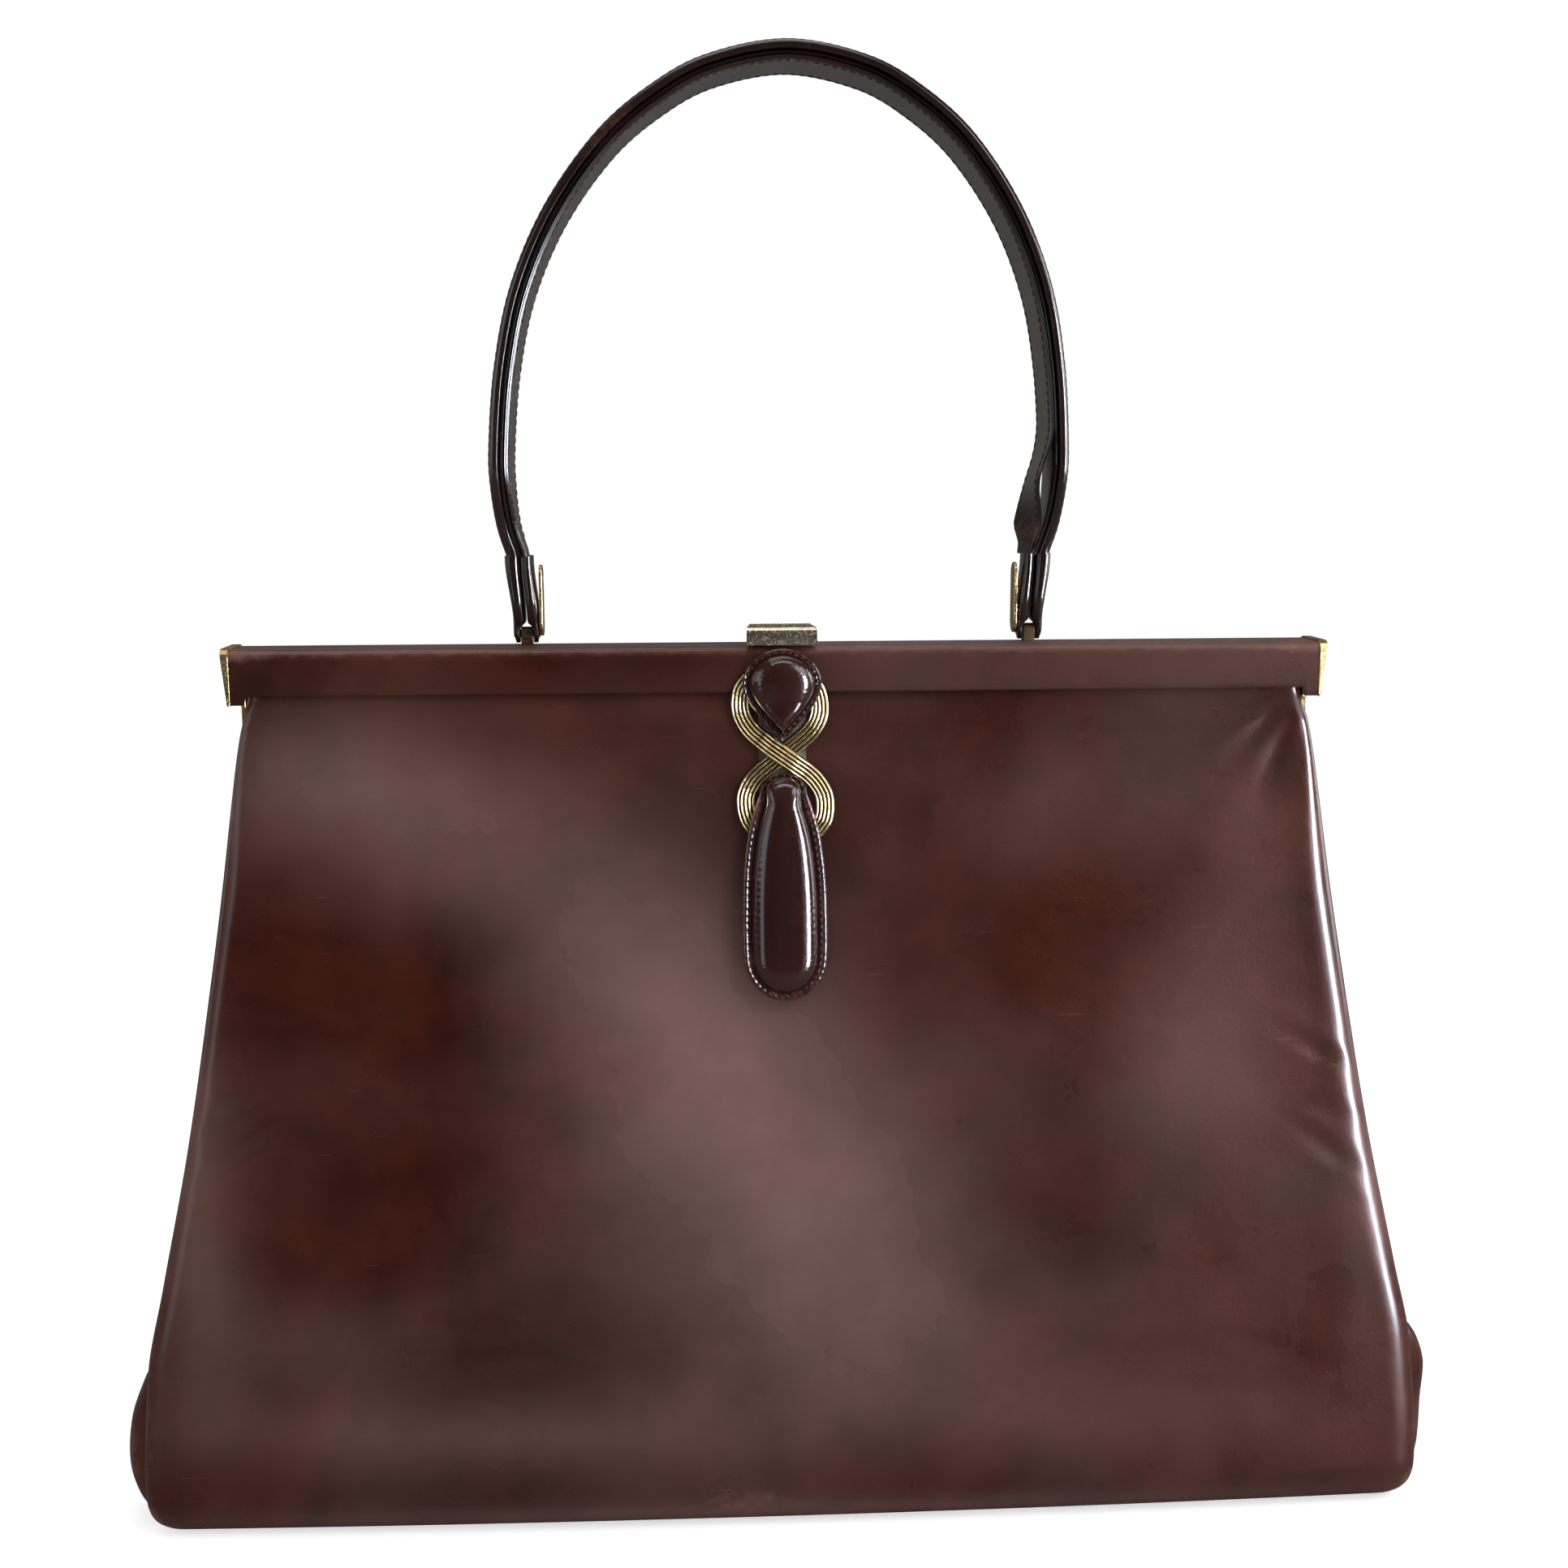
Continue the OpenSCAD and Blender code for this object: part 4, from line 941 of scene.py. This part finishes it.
def make_boards():
    """Cards that stiffen the panels, between hide and lining, and follow their soft form."""
    z, u = np.meshgrid(np.linspace(16, 196, 60), np.linspace(-1, 1, 45), indexing="ij")
    x = u * (panel_half(z) - 10)
    for face, where in PANELS:
        card = sheet(where + "_board.card", under_hide(x, z, BOARD_IN, face),
                     under_hide(x, z, BOARD_IN + BOARD_T, face), board_card)
        follow_jaw(card, where)
        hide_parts(where + "_board")
    refinish("base_board", board_card)


POCKET_HALF = 70
POCKET_FOOT, POCKET_TOP = 40, 106


def pocket_swell(x):
    """How far the pocket's mouth stands away from the lining."""
    return 1.1 * np.sin(math.pi * (x + POCKET_HALF) / (2 * POCKET_HALF)) ** 0.8


def make_pocket():
    x, z = np.meshgrid(np.linspace(-POCKET_HALF, POCKET_HALF, 48),
                       np.linspace(POCKET_FOOT, POCKET_TOP, 26))
    spare = pocket_swell(x) * ease((z - 60) / 46)
    spare += 0.25 * clouds(np.stack([x, x * 0, z], -1), 20, 31)
    pocket = sheet("slip_pocket.cloth", under_hide(x, z, POCKET_IN + POCKET_T + spare),
                   under_hide(x, z, POCKET_IN + spare), lining_twill, "root",
                   np.stack([x, z], -1))
    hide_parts("slip_pocket")
    along, turn = np.meshgrid(np.linspace(-POCKET_HALF, POCKET_HALF, 60),
                              np.linspace(0, 2 * math.pi, 17)[:-1], indexing="ij")
    rings = under_hide(along, POCKET_TOP + 3.1 + 3.0 * np.sin(turn),
                       4.6 + pocket_swell(along) - 0.75 * np.cos(turn))
    binding = sweep("pocket_binding.leather", rings, inside_calf, "root")
    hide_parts("pocket_binding")
    along, up = np.linspace(-69, 69, 140), np.linspace(41, 105, 60)
    seams = [under_hide(along, np.full(140, 107.4), 5.45 + pocket_swell(along))]
    seams += [under_hide(np.full(60, edge), up, 5.15) for edge in (-68.5, 68.5)]
    sew("pocket_stitches", [(line, np.tile([0, -1, 0.1], (len(line), 1)), False)
                            for line in seams], brown_thread, "root", 2.6, 1.9, 0.2)


# The frame: bars under leather bands, brass caps, arms and pins

BAG_H = 228.0
BAR_IN, BAR_OUT, BAR_END = 0.2, 8.2, 142.9  # a band's faces and its ends
BAND_IN = 7.3  # the inner face of its front
CORNER_W, CORNER_DROP = 3.6, 2.3  # where it hangs lower, at the caps
BACK_R, FRONT_R = 0.9, 2.2


def rounding(y, z, radius, start, end, count):
    """The round edge of a band, as (depth, height)."""
    return [(y + radius * math.cos(a), z + radius * math.sin(a))
            for a in np.linspace(start, end, count)]


def make_covers():
    ends = BAR_END - np.linspace(0, CORNER_W + 1.2, 12)
    level = math.pi / 2
    for face, where in PANELS:
        rings = []
        for x in np.concatenate([-ends, np.linspace(-136, 136, 92), ends[::-1]]):
            ripple = 0.12 * noise.noise(Vector((x / 30, face * 3, 0))) \
                + 0.06 * noise.noise(Vector((x / 9, face * 5, 1)))
            low = SEAM_Z - CORNER_DROP * float(ease((abs(x) - BAR_END + CORNER_W + 0.5) / 0.7))
            ring = rounding(BAR_IN + BACK_R, BAG_H - BACK_R, BACK_R, math.pi, level, 7)
            ring += [(y, BAG_H) for y in np.linspace(1.9, 5.4, 4)]
            ring += rounding(BAR_OUT - FRONT_R, BAG_H - FRONT_R, FRONT_R, level, 0, 10)
            ring += [(BAR_OUT + (0.2 + ripple) * math.sin(math.pi * t) ** 0.7,
                      mix(BAG_H - FRONT_R, low + 0.4, t)) for t in np.linspace(0, 1, 12)[1:-1]]
            ring += [(BAR_OUT - 0.02, low + 0.35), (BAR_OUT - 0.18, low + 0.08),
                     (BAR_OUT - 0.45, low), (BAND_IN, low + 0.05), (BAND_IN, BAG_H - 0.9)]
            rings.append([(x, face * y, z) for y, z in ring])
        cover = sweep(where + "_bar_cover.leather", rings, body_calf, where + "_jaw", crease=50)
        p = places(cover)
        x, _, z = p.T
        paint(cover, "wear", 0.4 * hill(z, BAG_H - 1.2, 1.6) + 0.2 * ease((np.abs(x) - 128) / 12))
        # Painted sheen on the bands: lighter towards the right, the side the light comes from, and a painted
        # highlight along the rounded top edge
        paint(cover, "bloom_and_painted_sheen", 0.02 + 0.22 * ease((x + 20) / 60) + 0.3 * hill(z, BAG_H, 1.5)
              + 0.1 * clouds(p, 30, 47))
        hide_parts(where + "_bar_cover")
        refinish(where + "_bar", fitting_brass)


def make_fittings():
    for where, body in (("front", "front_jaw"), ("back", "back_jaw")):
        for side in ("left", "right"):
            softened(f"{where}_{side}_cap", 0.35, fitting_brass, body, 3)
            softened(f"{where}_{side}_arm", 0.25, fitting_brass, body)
    for side in ("left", "right"):
        softened(f"{side}_hinge_pin", 0.4, fitting_brass, "root", 3)
        softened(f"{side}_lug", 0.2, dark_brass, "back_jaw")
        softened(f"{side}_oval", 0.25, fitting_brass, "handle", 3)
        softened(f"{side}_lug_pin", 0.2, dark_brass, "handle")
    softened("thumb_catch", 0.12, catch_brass, "catch")
    softened("catch_plate", 0.12, fitting_brass, "back_jaw")
    softened("strike_plate", 0.1, fitting_brass, "front_jaw")
    softened("catch_pin", 0.15, fitting_brass, "back_jaw")
    refinish("catch_spring", spring_wire)
    refinish("ornament_strip", strip_brass)


# The ornament on the front bar

ORNAMENT_BACK = 8.3
ORNAMENT_BEND = SHOULDER[1] + (SHOULDER[0] + 0.3 - ORNAMENT_BACK) / LEAN_SLOPE
PAD_BACK = 2.2


def back_y(z):
    return ORNAMENT_BACK + np.maximum(0, (ORNAMENT_BEND - np.asarray(z)) * LEAN_SLOPE)


def pad_loop(top, high, wide, shares):
    """The outline of a pad as (x, z), evenly spaced and smooth."""
    side = [(s[1] * wide / 2, top - high * s[0]) for s in shares]
    loop = side + [(-x, z) for x, z in side[-2:0:-1]]
    return evenly(flowing(loop, 6, closed=True), 0.45, closed=True)


RIM_GROOVE = 0.68  # where the stitches run, between a pad's edge and its dome


def make_pad(name, node, top, high, wide, shares, spine, rim, proud):
    """A stuffed pad: a flat stitched rim round a tight dome, on a backing of leather."""
    loop = pad_loop(top, high, wide, shares)
    along = headings(loop, closed=True)
    inward = np.stack([-along[:, 1], along[:, 0]], 1)
    middle = np.stack([np.zeros(len(loop)), np.clip(loop[:, 1], *spine)], 1)
    if np.sum((middle - loop) * inward) < 0:
        inward = -inward
    covered = ease((loop[:, 1] - spine[1] - 1.0) / 7)[:, None] if node == "tab_pad" else 0.0
    inner = loop + inward * rim * (1 - 0.75 * covered)
    for _ in range(6):
        inner = (np.roll(inner, 1, 0) + inner * 2 + np.roll(inner, -1, 0)) / 4
    lumps = np.array([noise.noise(Vector((x / 2.4, z / 2.4, 5.0))) for x, z in loop])
    pucker = 0.1 * np.cos(np.arange(len(loop)) * 2 * math.pi / 4) + 0.16 * lumps
    core = np.stack([np.zeros(len(loop)), np.clip(inner[:, 1], *spine)], 1)
    rings = []

    def ring(flat, out):
        rings.append(np.stack([flat[:, 0], -back_y(flat[:, 1]) - PAD_BACK - out, flat[:, 1]], 1))
    for tuck, out, much in ((0.25, 0.0, 0), (0, 0.35, 0), (0, 0.8, 0), (0.12, 1.08, 0.4),
                            (0.35, 1.25, 0.6)):
        ring(loop + inward * tuck, out + pucker * much)
    for share, out, much in ((0.3, 1.4, 1), (0.5, 1.3, 1), (RIM_GROOVE, 0.95, 0.7),
                             (0.84, 1.05, 0.4), (1, 0.85, 0.4)):
        ring(mix(loop, inner, share), out + pucker * much)
    for share, dome in ((0.985, 0.12), (0.95, 0.34), (0.9, 0.5), (0.82, 0.66), (0.72, 0.79),
                        (0.6, 0.89), (0.46, 0.95), (0.3, 0.985), (0.14, 1.0)):
        ring(mix(core, inner, share),
             0.85 + pucker * 0.4 * share ** 3 + (proud + 0.3) * dome)
    pad = sweep(name, rings, pad_calf, "front_jaw", crease=60)
    x, y, z = places(pad).T
    out = -y - back_y(z) - PAD_BACK
    paint(pad, "wear", 0.4 * hill(out, 1.2, 0.35) * (out < 1.5)
          + 0.8 * hill(z, 190, 4) * ease((np.abs(x) - 5.5) / 2))
    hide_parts(node)
    x, z = mix(loop, inner, RIM_GROOVE).T
    line = np.stack([x, -back_y(z) - PAD_BACK - 1.12, z], 1)
    return line, np.tile([0, -math.cos(LEAN), math.sin(LEAN)], (len(line), 1)), True


BAND_HALF = 2.5
WIRE_SHARE = 0.8  # how wide each rib is for its share of the band
EIGHT_TOP, EIGHT_H = 219.6, 39.2
EIGHT_HALF, EIGHT_SKEW = 10.4, 0.9
EIGHT_MIDDLE = 200
EIGHT_SHARES = ((-0.7, 0), (-0.92, 0.07), (-1, 0.16), (-0.96, 0.25), (-0.74, 0.345),
                (-0.36, 0.43), (0, 0.5), (0.36, 0.57), (0.74, 0.655), (0.96, 0.75),
                (1, 0.84), (0.92, 0.93), (0.7, 1))


def make_strand(name, side, rise):
    """A ribbed metal band that curls from one pad to the other."""
    path = flowing([(side * x * EIGHT_HALF + EIGHT_SKEW * (2 * z - 1), EIGHT_TOP - EIGHT_H * z)
                    for x, z in EIGHT_SHARES], 9)
    ahead = headings(path)
    ribs, finer = 5, 14
    section = [(-BAND_HALF, 0.0), (BAND_HALF, 0.0)]
    # How dark each point of the section is painted, as tarnish and painted shade: fully on the band's back,
    # most in the grooves between the ribs
    groove_tarnish_and_shade = [1.0, 1.0]
    for k in range(ribs * finer + 1):
        off = abs(2 * (k % finer) / finer - 1) / WIRE_SHARE
        swell = math.sqrt(max(0.0, 1 - off ** 2))
        section.append((BAND_HALF - 2 * BAND_HALF * k / (ribs * finer), 0.4 + 0.85 * swell))
        groove_tarnish_and_shade.append(1.0 - 0.6 * swell if swell < 0.5 else 0.0)
    rings = []
    for p, t in zip(path, ahead):
        lift = rise * float(ease((4.3 - abs(p[1] - EIGHT_MIDDLE)) / 2.2))
        ring = []
        for s, h in section:
            x, z = p[0] - s * t[1], p[1] + s * t[0]
            ring.append((x, -float(back_y(z)) - 0.75 - lift - h, z))
        rings.append(ring)
    strand = sweep(name + ".ribbed", rings, band_brass, "front_jaw", crease=60)
    paint(strand, "groove_tarnish_and_shade", np.tile(groove_tarnish_and_shade, len(rings)))
    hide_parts(name)


def make_ornament():
    make_strand("over_strand", 1, 1.4)
    make_strand("under_strand", -1, 0.0)
    drop = make_pad(
        "teardrop_pad.stuffed", "teardrop_pad", 227.8, 24, 20.6,
        [[0, 0], [0.03, 0.36], [0.09, 0.62], [0.17, 0.82], [0.28, 0.96], [0.38, 1],
         [0.5, 0.95], [0.62, 0.8], [0.74, 0.58], [0.86, 0.33], [0.95, 0.13], [1, 0]],
        (211.5, 218.5), 1.5, 3.8)
    tab = make_pad(
        "tab_pad.stuffed", "tab_pad", 195.6, 58.5, 22,
        [[0, 0], [0.015, 0.3], [0.05, 0.48], [0.11, 0.6], [0.2, 0.76], [0.3, 0.88],
         [0.45, 0.97], [0.6, 1], [0.75, 1], [0.84, 0.97], [0.9, 0.86], [0.95, 0.66],
         [0.985, 0.38], [1, 0]], (147.5, 186.0), 2.3, 3.8)
    sew("ornament_stitches", [drop, tab], brown_thread, "front_jaw", 1.9, 1.4, 0.26)


# The handle: rolled outer strap, core, inner strap, end tabs

LUG_X, LUG_Y, LUG_Z = 67.0, 4.2, 230.9
HANDLE_H, HANDLE_W = 152.0, 151.0
arch_shares = [[0.95, 0.152], [0.98, 0.202], [0.997, 0.268], [1, 0.338], [0.978, 0.47],
               [0.922, 0.603], [0.81, 0.732], [0.641, 0.849], [0.464, 0.924], [0.27, 0.975],
               [0, 1]]


def arch_at(side, s):
    return (side * s[0] * HANDLE_W / 2 + 2.4 * float(ease(s[1])) * s[1],
            BAG_H + HANDLE_H * s[1])


arch = flowing([arch_at(-1, s) for s in arch_shares]
               + [arch_at(1, s) for s in arch_shares[-2::-1]], 10)
arch_ahead = headings(arch)
arch_ahead[0], arch_ahead[-1] = (0, 1), (0, -1)


def strap_half(p):
    """Half width of the strap, which narrows into its end tabs."""
    share = ((p[1] - BAG_H) / HANDLE_H - 0.152) / (0.31 - 0.152)
    return mix(9.6, 20.0, float(ease(share))) / 2


def gape(p, across):
    """How far the inner strap has come away at the right end, and twisted like a leaf."""
    if p[0] < 0:
        return 0.0
    up = p[1] - BAG_H
    near = 3.1 * float(ease(1 - abs(up - 42) / 15))
    far = 5.0 * float(ease(1 - max(up - 29, (29 - up) * 3) / 30))
    return mix(near, far, (across + 1) / 2)


def strap(name, node, section, finish, gaping=False):
    """Sweeps a section of (share of the half width, depth under the outer face)."""
    rings = []
    for p, t in zip(arch, arch_ahead):
        half = strap_half(p)
        ring = []
        for s, d in section:
            depth = d + (gape(p, s) if gaping else 0.0)
            ring.append((p[0] + t[1] * depth, LUG_Y + s * half, p[1] - t[0] * depth))
        rings.append(ring)
    obj = sweep(name, rings, finish, "handle", crease=60)
    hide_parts(node)
    return obj


SEAM_ENDS = 6  # the strap's seams end this many points before its ends


def strap_line(share, depth, gaping=False):
    """A seam along the strap, at a share of its half width and a depth."""
    line = []
    for p, t in zip(arch[SEAM_ENDS:-SEAM_ENDS], arch_ahead[SEAM_ENDS:-SEAM_ENDS]):
        d = depth + (gape(p, share) if gaping else 0.0)
        line.append((p[0] + t[1] * d, LUG_Y + share * strap_half(p), p[1] - t[0] * d))
    return np.array(line)


EYE_R = 2.6  # the tab's round end, which has room over the bar when it swings
TAB_HALF, TAB_FOOT, TAB_TOP = 4.85, 228.5, 251.4


def make_tab(side, node):
    """An end tab: two narrow rolls of leather that part round the lug and its eye."""
    fork = []
    for leg in (-1, 1):
        for z in np.concatenate([[TAB_FOOT, TAB_FOOT + 0.3, TAB_FOOT + 0.9],
                                 np.linspace(TAB_FOOT + 1.9, TAB_TOP, 26)]):
            spread = float(ease((z - 234) / 17))
            middle = LUG_X + 0.8 * spread
            inside = mix(1.75, 0.16, float(ease((z - 232.2) / 1.9)))
            outside = mix(2.9, 3.5, float(ease((z - 228.3) / 3))) + (0.8 * leg + 0.2) * spread
            wide = mix(EYE_R, TAB_HALF, float(ease((z - LUG_Z) / 9)))
            if z < LUG_Z:
                wide = math.sqrt(EYE_R ** 2 - (LUG_Z - z) ** 2)
            ring = []
            for a in np.linspace(0, 2 * math.pi, 29)[:-1]:
                c, d = math.cos(a), math.sin(a)
                c, d = math.copysign(abs(c) ** 0.7, c), math.copysign(abs(d) ** 0.6, d)
                x = mix(inside, outside, (1 + c) / 2)
                ring.append((side * (middle + leg * x), LUG_Y + wide * d, z))
            fork.append(ring)
    fork = np.array(fork)
    count, size = len(fork) // 2, fork.shape[1]
    faces = ring_faces(count, size) + ring_faces(count, size, count * size)
    tab = piece(node + ".rolled", fork.reshape(-1, 3), faces, handle_calf, "handle", crease=50)
    paint(tab, "wear", 0.25 * hill(places(tab)[:, 2], 249, 4))
    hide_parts(node)


def make_handle():
    roll = flowing([(-0.84, 0.4), (-0.985, 1.2), (-1, 2.2), (-0.95, 2.9), (-0.5, 2.9),
                    (0.5, 2.9), (0.95, 2.9), (1, 2.2), (0.985, 1.2), (0.84, 0.4), (0.5, 0.06),
                    (0, -0.02), (-0.5, 0.06)], 4, closed=True)
    outer = strap("outer_strap.rolled", "outer_strap", roll, handle_calf)
    x, _, z = places(outer).T
    paint(outer, "wear", 0.25 * hill(z, 378, 10) + 0.45 * hill(z, 358, 9) * (x < -20)
          + 0.3 * hill(z, 258, 6))
    cord = flowing([(-0.8, 3.2), (-0.82, 3.7), (-0.8, 4.2), (-0.4, 4.38), (0.4, 4.38),
                    (0.8, 4.2), (0.82, 3.7), (0.8, 3.2), (0.4, 3.02), (-0.4, 3.02)], 3,
                   closed=True)
    strap("strap_core.cord", "strap_core", cord, handle_calf)
    flat = flowing([(-0.97, 4.55), (-1, 4.9), (-0.98, 5.3), (-0.93, 5.55), (-0.6, 5.6),
                    (0.6, 5.6), (0.93, 5.55), (0.98, 5.3), (1, 4.9), (0.97, 4.55),
                    (0.6, 4.5), (-0.6, 4.5)], 4, closed=True)
    inner = strap("inner_strap.lined", "inner_strap", flat, handle_calf, True)
    paint(inner, "wear", 0.4 * hill(places(inner)[:, 2], 258, 7))
    make_tab(1, "right_tab")
    make_tab(-1, "left_tab")
    seams = []
    ahead = arch_ahead[SEAM_ENDS:-SEAM_ENDS]
    inwards = np.stack([ahead[:, 1], np.zeros(len(ahead)), -ahead[:, 0]], 1)
    for share in (-0.84, 0.84):
        seams.append((strap_line(share, 5.62, gaping=True), inwards, False))
        seams.append((strap_line(share * 0.93, 0.4), -inwards, False))
    sew("handle_stitches", seams, brown_thread, "handle", 2.3, 1.75, 0.2)


make_hide()
make_gussets()
make_lining()
make_boards()
make_pocket()
make_covers()
make_fittings()
make_ornament()
make_handle()
